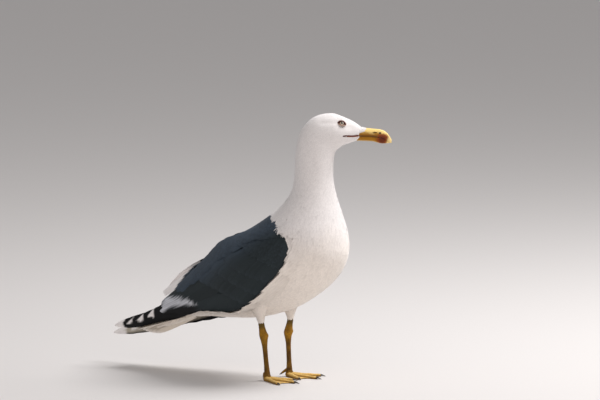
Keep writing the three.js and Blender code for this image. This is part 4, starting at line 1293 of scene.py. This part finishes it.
def border_sheet(side):
    """Plumage surface that runs from the breast and belly up over the edge of a wing.

    u is the length along the border in mm, and v that across it, from -24 on the body to 14
    on the wing. Across it goes a Catmull-Rom curve through two places on the body's coat, the
    raised edge, and two on the wing."""
    sheet = wing_sheet(side)
    path = through(WING_BORDER, np.linspace(0, len(WING_BORDER) - 1, 200))
    edge, along, around, normal = sheet.read(path)
    run = unit(np.gradient(edge, axis=0))
    middle = sheet.read(np.array([[2.4, 0.5]]))[0]
    inward = np.cross(normal, run)
    inward = unit(averaged(inward * np.sign(dot(inward, middle - edge)), 8))
    inner = [sheet.read(path + slide(along, around, inward * reach))[0] + normal * lift
             for reach, lift in ((14, 1.7), (28, 1.0))]
    coat = SKIN.table[::2, ::2]
    stations = SKIN.start[0] + SKIN.step[0] * 2 * np.arange(len(coat))
    depth = coat_size(stations)[:, None, :1] - 0.3
    body = (coat[..., 0:3] + coat[..., 9:12] * depth).reshape(-1, 3)
    outer = []
    for reach in (44, 24):
        target = edge - inward * reach - normal * 5
        nearest = [np.argmin(np.sum((body - one) ** 2, -1)) for one in target]
        outer.append(averaged(body[nearest], 6))
    knots = np.stack([*outer, edge + normal * 1.9, *inner])
    v = np.linspace(-24, 14, 39)
    t = np.interp(v, [-24, 0, 14], [1, 2, 3])
    points = through(knots.reshape(5, -1), t).reshape(len(v), len(path), 3).transpose(1, 0, 2)
    length = np.sum(np.linalg.norm(np.diff(edge, axis=0), axis=-1))
    return Sheet(np.linspace(0, length, len(path)), v, points, np.array([0, side, 0.0])), length


def flank(side):
    """White feathers in rows on the border sheet, which lap over the wing in a ragged edge:
    inward down its front, and more and more backward along its lower edge."""
    sheet, length = border_sheet(side)
    roots = []
    for row, across in enumerate(np.arange(-22, -2.4, 2.0)):
        along = np.arange(12, length - 8, 1.6) + 0.8 * (row % 2)
        roots.append(np.stack([along, np.full(len(along), across)], -1))
    roots = np.concatenate(roots)
    roots += chance.uniform(-0.7, 0.7, roots.shape)
    back = smooth((roots[:, 0] - 70) / 60)
    tuft = 1 + blend(0.12, 0.22, back) * np.sin(roots[:, 0] / 2.9)
    tuft = tuft + 0.12 * np.sin(roots[:, 0] / 1.3 + 1)
    move = np.stack([blend(6, 16, back), blend(9.5, 5.5, back)], -1)
    move = move * (tuft * chance.uniform(0.75, 1.15, len(roots)))[:, None]
    spare = blend(-8.5, -5.5, back)
    roots[:, 1] = np.minimum(roots[:, 1], spare + chance.uniform(-1.5, 1, len(roots)))
    f = np.linspace(0, 1, 6)
    rise = blend(-1.6, chance.uniform(0.2, 0.7, (len(roots), 1)), 1 - (1 - f) ** 2)
    rise = rise - 3.5 * (1 - smooth((roots[:, :1] - 12) / 12))
    half = chance.uniform(0.7, 1.15, len(roots))
    keep = (roots[:, 0] > FOLD[0]) | (roots[:, 1] > FOLD[1])
    return vanes(sheet, span(sheet, roots[keep], (roots + move)[keep], 6), half[keep], rise[keep],
                 "wisp", LEAF, thick=0.18, camber=0.04)


tail_plane, tail_length = tail_sheet()
tail_core = tail_core_sheet()
tail_quills(tail_plane, tail_length)
tail_coverts(tail_plane, tail_core)
for one_side in SIDE_WORD:
    thigh_coat(one_side)
    wing(one_side)


# ---------------------------------------------------------------- closed shells
def grid_faces(rows, columns, ring=False):
    """Quads of a grid of points that closes in the second direction, and with `ring` in both."""
    r, k = np.meshgrid(np.arange(rows if ring else rows - 1), np.arange(columns), indexing="ij")
    here, after, beside = r * columns, (r + 1) % rows * columns, (k + 1) % columns
    return np.stack([here + k, here + beside, after + beside, after + k], -1).reshape(-1, 4)


def faced_out(points, faces):
    """The faces of a closed surface, turned round if the volume in it comes out negative."""
    middle = points.mean(0)
    volume = 0.0
    for rows in faces:
        p = points[rows] - middle
        for j in range(1, rows.shape[1] - 1):
            volume += np.sum(p[:, 0] * np.cross(p[:, j], p[:, j + 1]))
    return [rows[:, ::-1] for rows in faces] if volume < 0 else faces


def shell(rings, tints=None):
    """Closed surface through rings of points, capped by a fan at both ends, facing out, as
    points, faces and tints."""
    rows, columns = rings.shape[:2]
    flat = np.concatenate([rings.reshape(-1, 3), rings[:1].mean(1), rings[-1:].mean(1)])
    k = np.arange(columns)
    after = (k + 1) % columns
    end = (rows - 1) * columns
    first = np.stack([after, k, np.full(columns, len(flat) - 2)], -1)
    last = np.stack([k + end, after + end, np.full(columns, len(flat) - 1)], -1)
    faces = faced_out(flat, [grid_faces(rows, columns), np.concatenate([first, last])])
    if tints is not None:
        tints = tints.reshape(-1, 3)
        tints = np.concatenate([tints, tints[:columns].mean(0)[None], tints[-columns:].mean(0)[None]])
    return flat, faces, tints


def solid(name, shells, material, replaces):
    """One piece from several shells, with their faces renumbered, quads first."""
    points, quads, threes, tints, count = [], [], [], [], 0
    for flat, faces, tint in shells:
        points.append(flat)
        tints.append(tint)
        for rows in faces:
            (quads if rows.shape[1] == 4 else threes).append(rows + count)
        count += len(flat)
    tint = None if tints[0] is None else np.concatenate(tints)
    piece(name, np.concatenate(points), [np.concatenate(quads), np.concatenate(threes)], material,
          replaces, tint=tint)


def arm(side):
    """The wing's arm under its feathers: a flat shell that follows the wing's outer face."""
    sheet = wing_sheet(side)
    s, q = np.linspace(-0.1, 4.9, 60), np.linspace(-0.02, 0.95, 40)
    point, _, _, normal = sheet.read(np.stack(np.meshgrid(s, q, indexing="ij"), -1))
    rim = 3 * np.abs(2 * (q + 0.02) / 0.97 - 1) ** 4
    depth = 2.8 + rim[None] + 6 * (1 - smooth((s + 0.1) / 0.5))[:, None]
    thick = blend(14, 2.2, smooth((s - 1.4) / 2.8))[:, None]
    outer = point - normal * depth[..., None]
    inner = point - normal * (depth + thick)[..., None]
    rings = np.concatenate([outer, inner[:, ::-1]], 1)
    word = SIDE_WORD[side]
    solid(f"arm_{word}", [shell(rings, np.broadcast_to(SLATE, rings.shape))], DOWN, [f"wing_{word}"])


def body_skin(core):
    """One skin for head, neck, body, thighs and the tail's root."""
    trunk = SKIN.table[..., 0:3]
    shells = [shell(trunk, blend(white_tint(trunk), SLATE, slate_share(trunk)))]
    for sheet in (thigh_sheet(-1), thigh_sheet(1), core):
        points = sheet.table[..., 0:3]
        shells.append(shell(points, white_tint(points)))
    solid("skin", shells, DOWN, ["head", "neck", "torso", "mantle", "thigh_right", "thigh_left"])


body_skin(tail_core)
for one_side in SIDE_WORD:
    arm(one_side)


# ---------------------------------------------------------------- bill and mouth
def nostril(x, z):
    """Distance of places on the bill from the middle of the nostril's slit, 1 near its rim."""
    ahead = x - NOSTRIL[0]
    return np.hypot(ahead / 3.2, (z - NOSTRIL[1] - 0.1 * ahead) / 0.8)


def bill_tint(p):
    """Ochre horn: pale yellow along the culmen as painted light from above, and pale along the lower
    edge and at the tip; brownish ochre along the bite and the nostril's groove as painted shade; a
    deep red spot over the gonys and a small dark mark."""
    x, _, z = np.moveaxis(p, -1, 0)
    top = np.interp(x, UPPER_BILL[:, 0], UPPER_BILL[:, 1])
    bottom = np.interp(x, LOWER_BILL[:, 0], LOWER_BILL[:, 2])
    bite = 347.4 - 0.09 * np.clip(x - 137, 0, 30)
    uneven = 1.2 * ripple(p, 9, 12) + 0.5 * ripple(p, 3.4, 13)
    spot = np.hypot((x - 158.4) / 8.4, (z - 342.6) / 7.4) + 0.10 * uneven
    mark = np.hypot((x - 155.2) / 2.0, (z - 351.6) / 1.3)
    return layered(BILL_YELLOW, [
        # Painted light from above: the upper bill is pale along the culmen.
        (BILL_PALE, smooth((z - top + 8.2 + uneven) / 5)),
        # Painted shade along the bite.
        (BILL_SHADE_OCHRE, 0.9 * bell(z - bite - 0.4, 2.4 + 0.4 * uneven)),
        (BILL_PALE * 0.7, 0.55 * smooth((bottom + 2.4 - z) / 2)),
        (BILL_BASE, smooth((133 - x + uneven) / 8) * smooth((z - 351.5) / 4)),
        (BILL_RED * 1.5, 0.8 * smooth((1.25 - spot) / 0.5)),
        (BILL_RED * 0.7, 0.8 * smooth((0.85 - spot) / 0.5)),
        (BILL_TIP, 0.9 * smooth((x - 164.5 - 0.3 * (z - 345)) / 4.0)),
        (BLACK * 1.5, smooth((1.15 - mark) / 0.5)),
        # Painted shade in the nostril.
        (BILL_SHADE_OCHRE * 0.35, smooth((1.15 - nostril(x, z)) / 0.4)),
    ])


def bill_base_coat():
    """Tiny feathers over the horn's base: they start farthest forward along the culmen and
    lie back toward the face. Their sheet is the upper bill's own arch."""
    x = np.linspace(138, 111, 70)
    v = np.linspace(0, 1, 81)
    top, low, half = np.moveaxis(eased(UPPER_BILL, x), -1, 0)
    low = low - 0.3
    y = half[:, None] * np.cos(np.pi * v)
    z = low[:, None] + (top - low)[:, None] * np.sin(np.pi * v) ** 0.8
    x = np.broadcast_to(x[:, None], y.shape)
    away = np.stack([0 * x, y, z - low[:, None]], -1)
    sheet = Sheet(138 - x[:, 0], v, turned(np.stack([x, y, z], -1), HEAD_TURN),
                  turned(away + [NECK_AXIS_X, 0, 0], HEAD_TURN) - [NECK_AXIS_X, 0, 0])
    roots = strewn(sheet, 1.5, 18, 3.4, 0.7, (0.26, 0.9))
    height = turned(sheet.read(roots)[0], -HEAD_TURN)[:, 2]
    limit = np.interp(height, [347, 350, 352, 354, 357, 359.5], [121, 122.5, 127, 134, 136.5, 135])
    roots = roots[138 - roots[:, 0] < limit + chance.uniform(-0.7, 0.5, len(roots))]
    group = laid_on(sheet, roots, 3.1, 0.75, (0.05, 0.4), "wisp", LEAF, rings=5, camber=0.03,
                    thick=0.08, turn=10.0)
    plumes("coat_bill_base", [group], white_feather, WHITE_COAT)


def mandible(name, sections, is_upper):
    """Half of the bill: an arch over a flat bite line, or a keel under one.

    Round each section the arch goes as the cosine across and the 0.8th power of the sine
    up; the bite face closes it, a little hollow. Nostrils are pressed in from both sides."""
    x = np.linspace(sections[0, 0], sections[-1, 0], 170)
    top, low, half = np.moveaxis(eased(sections, x), -1, 0)
    flat, curved = (low, top) if is_upper else (top, low)
    angle = np.linspace(0, np.pi, 57)
    across = half[:, None] * np.cos(angle)
    up = flat[:, None] + (curved - flat)[:, None] * np.sin(angle) ** 0.8
    back = np.linspace(-1, 1, 17)[1:-1]
    bite = flat[:, None] + (0.5 if is_upper else -0.3) * (1 - back**2)
    y = np.concatenate([across, half[:, None] * back], 1)
    z = np.concatenate([up, bite], 1)
    x = np.broadcast_to(x[:, None], y.shape)
    if is_upper:
        groove = bell((z - 351.4 - 0.05 * (x - 140)) / 1.2, 1.0)
        groove = groove * smooth((150 - x) / 6) * smooth((x - 126) / 5)
        press = 1.3 * smooth((1.2 - nostril(x, z)) / 0.5) + 0.35 * groove
        y = y - np.sign(y) * press * (np.abs(y) > 2)
    p = np.stack([x, y, z], -1)
    solid(name + "_horn", [shell(turned(p, HEAD_TURN), bill_tint(p))], BILL, [name])


def gape(side):
    """Fleshy lips from the bill back to the corner of the mouth, on the face's surface: a
    dark red one over a thinner orange one, each a tube along a shallow wave."""
    shells = []
    angle = once_round(10)
    for lip, thick, start, colour in ((0.3, 0.9, 0, FLESH_RED * 0.8), (-0.95, 0.5, 6, LIP_ORANGE)):
        x = np.linspace(MOUTH_BACK - 0.5 + start, MOUTH_FRONT - 8, 60)
        z = MOUTH_Z + 0.4 + lip + 0.45 * np.sin((x - 103) / 3.4) * smooth((126 - x) / 10)
        middle = np.stack([x, side * (head_half(x, z) + 0.25), z], -1)
        radius = thick * (smooth((x - x[0] + 0.8) / 1.6) + 0.35 * bell((x - x[0] - 2.5) / 2.5, 1))
        rings = np.stack([0 * angle, side * np.cos(angle), np.sin(angle)], -1)
        rings = middle[:, None] + rings * radius[:, None, None]
        # Painted shade: the lips darken toward the corner of the mouth.
        shade = 1 - 0.4 * bell((x - x[0]) / 6, 1)[:, None, None]
        shells.append(shell(turned(rings, HEAD_TURN), np.broadcast_to(colour * shade, rings.shape)))
    return shells


# ---------------------------------------------------------------- eyes
def eyeball(side):
    """Ball in rings round its outward axis, with a low cornea, pale iris and small pupil. The
    iris is darker round the pupil; its dark outer ring is partly the limbus and partly painted
    shade of the brow and lids, wider above, and its upper part is darkened as painted shadow of
    the brow and upper lid."""
    centre, out, ahead, up = eye_frame(side)
    polar = np.concatenate([np.linspace(0.02, 0.9, 60), np.linspace(0.95, np.pi - 0.05, 24)])
    round_ = once_round(64)
    radius = EYE_RADIUS + 0.35 * bell(polar, 0.55) - 0.1
    off, lift = (radius * np.sin(polar))[:, None, None], (radius * np.cos(polar))[:, None, None]
    rim = np.cos(round_)[:, None] * ahead + np.sin(round_)[:, None] * up
    away = np.degrees(polar)[:, None] + 0 * round_
    fleck = 1 + 0.12 * np.sin(round_ * 23 + polar[:, None] * 9) + 0.08 * np.sin(round_ * 9)
    colour = blend(IRIS * 0.5, IRIS, smooth((away - 12) / 5)[..., None]) * fleck[..., None]
    # Painted shadow of the brow and upper lid: the upper part of the iris is darkened.
    colour = colour * (1 - 0.45 * smooth(np.sin(round_) + 0.3))[None, :, None]
    # The dark outer ring is partly the limbus and partly painted shade, wider above.
    colour = layered(colour, [(BLACK * 0.3, smooth((13.5 - away) / 1.5)),
                              (LIMBUS_AND_BROW_SHADE, smooth((away - 22 + 3 * np.sin(round_)) / 4))])
    word = SIDE_WORD[side]
    solid(f"eye_{word}_ball", [shell(centre + off * rim + lift * out, colour)], WET_EYE,
          [f"eye_{word}"])


def lids(side):
    """Lids: a dark margin, a fleshy red-brown ring that is pale under the eye, and a low outer fold;
    each is darker over the eye as painted shade under the brow and paler under it as painted light
    on the lower lid. Each is a tube along an almond, laid on a ball a little larger than the eye."""
    centre, out, ahead, up = eye_frame(side)
    round_, angle = once_round(96), once_round(12)[:, None]
    corner = 1 + 0.2 * np.abs(np.cos(round_)) ** 5
    # Painted light and shade: each ring turns paler under the eye.
    under = smooth((-np.sin(round_) - 0.25) / 0.5)[:, None]
    made = []
    for tall, wide, thick, radius, colour, below in LIDS:
        a, b = np.cos(round_) * wide * corner, np.sin(round_) * tall
        lift = np.sqrt(np.maximum(radius**2 - (a**2 + b**2), 0.5))
        line = centre + a[:, None] * ahead + b[:, None] * up + lift[:, None] * out
        ways = unit(np.roll(line, -1, 0) - np.roll(line, 1, 0))
        radial = unit(line - centre)
        beside = np.cross(ways, radial)
        ring = np.cos(angle) * radial[:, None] + np.sin(angle) * beside[:, None]
        tube = line[:, None] + thick * ring
        flat = tube.reshape(-1, 3)
        faces = faced_out(flat, [grid_faces(len(round_), len(angle), ring=True)])
        made.append((flat, faces, np.repeat(blend(colour, below, under), len(angle), 0)))
    return made


bill_base_coat()
mandible("bill_upper", UPPER_BILL, True)
mandible("bill_lower", LOWER_BILL, False)
for one_side in SIDE_WORD:
    eyeball(one_side)
    solid("lids_and_lips_" + SIDE_WORD[one_side], [*lids(one_side), *gape(one_side)], BARE_SKIN, ())


# ---------------------------------------------------------------- legs and feet
def leg_tint(p, at, joints):
    """Ochre skin, browner near the joints, which are values of `at` with their spread, and in
    uneven patches of two sizes."""
    dirt = sum(bell(at - joint, wide) for joint, wide in joints)
    dirt = 0.5 * dirt + 0.14 + 0.2 * ripple(p, 11, 3) + 0.16 * ripple(p, 3.6, 6)
    return layered(LEG_YELLOW, [(LEG_BROWN, np.clip(dirt, 0, 1))])


def shank(side):
    """Bare leg from the foot into the thigh's plumage: ovals round its line.

    Down the front run overlapping plates, each rising to its lower edge; the sides have small
    scales; the hock has a blunt knob in front and a groove on each side."""
    z, angle = np.linspace(9.85, 88, 340), once_round(64)
    half = eased(SHANK, z)
    c = np.cos(angle)
    front = smooth((c - 0.1) / 0.5)
    plate = ((-z / 2.9) % 1) ** 1.5 * smooth((58 - z) / 5) * smooth((z - 10) / 3)
    scales = np.sin(z[:, None] * 2.6 + 2 * np.sin(angle * 3)) * np.cos(angle * 9 + z[:, None])
    knob = bell(z - 64.5, 3.2)[:, None] * smooth((c - 0.3) / 0.6) * 1.1
    groove = bell(z - 62, 9)[:, None] * bell(c, 0.3) * 0.5
    hollow = bell(z - 36, 16)[:, None] * bell(c + 0.15, 0.35) * 0.35
    grow = 0.42 * plate[:, None] * front + 0.13 * scales * (1 - front) + knob - groove - hollow
    p = leg_rings(side, z, half[:, :1] + grow, half[:, 1:] + grow, angle)
    high = p[..., 2]
    tint = layered(leg_tint(p, high, [(34, 20), (11, 4)]), [(LEG_OLIVE, 0.8 * smooth((high - 70) / 8))])
    tint = tint * (1 + 0.35 * bell(high - 62, 7))[..., None]
    seam = smooth((plate[:, None] - 0.75) / 0.2) * front
    # Painted shade: the back of the shank is browner, as the side away from the light.
    back_shade = smooth((-c - 0.2) / 0.8) * smooth((high - 8) / 10)
    tint = layered(tint, [(LEG_BROWN, 0.45 * seam), (LEG_BROWN, 0.55 * back_shade)])
    word = SIDE_WORD[side]
    solid(f"shank_{word}_scaled", [shell(p, tint)], LEG, [f"shank_{word}"])


def on_foot(side, along, across, up, turn):
    """Foot point from lengths along and across a toe: both turned from straight ahead."""
    c, s = np.cos(turn), np.sin(turn)
    return np.stack([along * c - across * s, side * (HEEL_OUT + along * s + across * c), up], -1)


def toe(side, turn, length):
    """Toe with a flat sole: a rounded top that swells at each pad, in overlapping plates."""
    along, angle = np.linspace(0, length, 110), once_round(28)
    half, tall = np.moveaxis(eased(TOE_BULGES, along / length), -1, 0)
    plate = 0.05 * ((along / 2.3) % 1)[:, None] * smooth(np.sin(angle) / 0.6)
    across = half[:, None] * np.cos(angle) * (1 + plate)
    up = np.maximum(tall[:, None] * (0.42 + 0.58 * np.sin(angle) * (1 + plate)), 0)
    p = on_foot(side, np.broadcast_to(along[:, None], up.shape), across, up, turn)
    f = np.broadcast_to((along / length)[:, None], up.shape)
    tint = leg_tint(p, f, [(0.5, 0.05), (0.8, 0.05), (1, 0.08), (0, 0.1)])
    # Painted highlight: a pale yellow band along the top of each toe, fading in near its base.
    ridge = smooth((np.sin(angle) - 0.05) / 0.6) * (0.9 - 0.35 * plate / 0.05)
    return shell(p, layered(tint * 1.25, [(TOE_HIGHLIGHT_YELLOW, ridge * smooth(f * 5))]))


def web(side, turns, lengths):
    """Web between two toes: straight lines from one toe to the other, its free edge drawn in
    by a curve, wrinkled in folds that fan out from the heel."""
    f, g = np.meshgrid(np.linspace(0.06, 1, 60), np.linspace(0, 1, 48), indexing="ij")
    one, other = [WEB_REACH * n * np.array([np.cos(t), np.sin(t)]) for t, n in zip(turns, lengths)]
    way = sum(turns) / 2
    pulled = min(lengths) * WEB_REACH * WEB_DIP * np.array([np.cos(way), np.sin(way)])
    a, b, c = ((1 - g) ** 2)[..., None], (2 * g * (1 - g))[..., None], (g**2)[..., None]
    flat = (a * one + b * pulled + c * other) * f[..., None]
    fold = 0.22 * np.sin(g * np.pi * 7) * f * np.sin(g * np.pi) + 0.1 * np.sin(f * 40 + g * 6)
    thick = 0.9 * (1 - 0.35 * smooth((f - 0.8) / 0.2))
    mid = 1.05 + 1.1 * (1 - f) + 0.25 * fold
    x, y = flat[..., 0], side * (HEEL_OUT + flat[..., 1])
    top = np.stack([x, y, mid + thick / 2], -1)
    bottom = np.stack([x, y, np.maximum(mid - thick / 2, 0.25)], -1)
    rings = np.concatenate([top, bottom[:, ::-1]], 1)
    dirt = np.clip(0.06 + 0.25 * ripple(rings, 7, 8), 0, 1)
    return shell(rings, layered(WEB_YELLOW, [(LEG_BROWN, dirt)]))


def ball(side):
    """Ankle end of the foot, up to the shank."""
    z = np.linspace(0, 9.85, 30)
    half = eased(SHANK, z)
    p = leg_rings(side, z, half[:, :1], half[:, 1:], once_round(40))
    return shell(p, leg_tint(p, p[..., 2], [(9, 3)]))


def hind_rings(side, start, end, halves):
    """Rings along the small hind toe, held off the floor and sloping down behind."""
    along, angle = np.linspace(start, end, 24)[:, None], once_round(20)
    half = np.interp(along, np.linspace(start, end, len(halves)), halves)
    c, s = np.cos(HALLUX["turn"]), np.sin(HALLUX["turn"])
    across = half * np.cos(angle)
    x = HALLUX["x"] + along * c - across * s
    y = side * (HEEL_OUT - HALLUX["in"] - along * s - across * c)
    up = HALLUX["z"] - HALLUX["drop"] * along / HALLUX["length"] + half * np.sin(angle)
    return np.stack([x, y, up], -1)


def front_claw(side, turn, length, reach):
    """Claw of a front toe: ovals that thin out along it, low, arched and flat below."""
    f, angle = np.linspace(0, 1, 40)[:, None], once_round(24)
    half, tall = 1.55 * (1 - f) ** 0.75 + 0.18, 2.9 * (1 - f) ** 0.8 + 0.35
    low = 0.45 + 0.9 * np.sin(np.pi * f) * (1 - f)
    up = low + tall * (0.5 + 0.5 * np.sin(angle))
    along = np.broadcast_to(length - 0.9 + (reach + 1.2) * f, up.shape)
    return shell(on_foot(side, along, half * np.cos(angle), up, np.radians(turn)))


def foot(side):
    """Three webbed toes, the ball of the foot and the hind toe, and its four claws."""
    word = SIDE_WORD[side]
    toes = [(np.radians(turn), length) for turn, length, _ in TOES.values()]
    parts = [toe(side, turn, length) for turn, length in toes] + [ball(side)]
    parts += [web(side, *zip(one, other)) for one, other in zip(toes, toes[1:])]
    hind = hind_rings(side, -3, HALLUX["length"], [2.4, 2.1, 1.5])
    parts.append(shell(hind, leg_tint(hind, hind[..., 2], [(4.5, 1.5)])))
    solid(f"foot_{word}_webbed", parts, LEG, [f"foot_{word}"])
    claws = {name: front_claw(side, *sizes) for name, sizes in TOES.items()}
    start = HALLUX["length"] - 0.5
    end = start + HALLUX["claw"] + 0.8
    claws["hind"] = shell(hind_rings(side, start, end, [1.35, 1.1, 0.75, 0.2]))
    for name, made in claws.items():
        solid(f"claw_{word}_{name}_curved", [made], CLAW, [f"claw_{word}_{name}"])


for one_side in SIDE_WORD:
    shank(one_side)
    foot(one_side)


# ---------------------------------------------------------------- floor, light and camera
FLOOR_REACH = 40.0
AZIMUTH, ELEVATION = np.radians(35), np.radians(7)
TO_RIGHT = np.array([np.cos(AZIMUTH), np.sin(AZIMUTH), 0])
TO_CAMERA = np.array([np.sin(AZIMUTH) * np.cos(ELEVATION), -np.cos(AZIMUTH) * np.cos(ELEVATION),
                      np.sin(ELEVATION)])
UP = np.array([0, 0, 1.0])
LIGHTS_AIM = np.array([0.02, 0, 0.2])
# Middle of the view in the stance frame, width of the view there in metres, lens and sensor.
CAMERA_AIM = np.array([26.4, 18.5, 252.5])
VIEW_WIDTH, LENS, SENSOR = 0.840, 600.0, 36.0


def floor():
    """Plain pale floor, with a fine dull grain."""
    g = Graph("pale_floor")
    grain = g.noise(g.place(), 220.0, 4.0)
    colour = g.mixed((0.64, 0.62, 0.605, 1), (0.68, 0.66, 0.645, 1), grain)
    mesh = bpy.data.meshes.new("floor")
    corners = [(x * FLOOR_REACH, y * FLOOR_REACH, 0) for x, y in ((-1, -1), (1, -1), (1, 1), (-1, 1))]
    mesh.from_pydata(corners, [], [(0, 1, 2, 3)])
    mesh.materials.append(g.surface(Base_Color=colour, Roughness=0.7 + grain * 0.1,
                                    Specular_IOR_Level=0.2))
    shown("floor", mesh)


def aimed(made, target, away, distance):
    """Put a lamp or camera that far from its target, looking at it."""
    made.location = target + away * distance
    made.rotation_euler = Vector(away).to_track_quat("Z", "Y").to_euler()


def lamp(name, direction, distance, size, power, colour):
    """Soft square light that shines from a direction on the middle of the bird."""
    light = bpy.data.lights.new(name, "AREA")
    light.size, light.energy, light.color = size, power, colour
    aimed(shown(name, light), LIGHTS_AIM, unit(direction), distance)


def camera():
    """Long lens at the height of the bird's back, looking at its right side from ahead."""
    data = bpy.data.cameras.new("camera")
    data.lens, data.sensor_width = LENS, SENSOR
    data.clip_start, data.clip_end = 0.1, 200.0
    made = shown("camera", data)
    aimed(made, (CAMERA_AIM + OFFSET) / 1000, TO_CAMERA, VIEW_WIDTH * LENS / SENSOR)
    bpy.context.scene.camera = made


def world(level):
    """Even pale light from all round."""
    made = bpy.data.worlds.new("studio")
    made.use_nodes = True
    sky = made.node_tree.nodes["Background"].inputs
    sky["Color"].default_value = (0.98, 0.96, 0.97, 1)
    sky["Strength"].default_value = level
    bpy.context.scene.world = made


floor()
lamp("key", TO_RIGHT * 0.62 - TO_CAMERA * 0.14 + UP * 0.85, 2.2, 1.2, 56, (1.0, 0.985, 0.99))
lamp("fill", TO_CAMERA * 0.9 + TO_RIGHT * 0.2 + UP * 0.1, 2.6, 2.4, 19, (1.0, 0.9, 0.86))
world(0.45)
camera()
bpy.context.scene.view_settings.view_transform = "Standard"
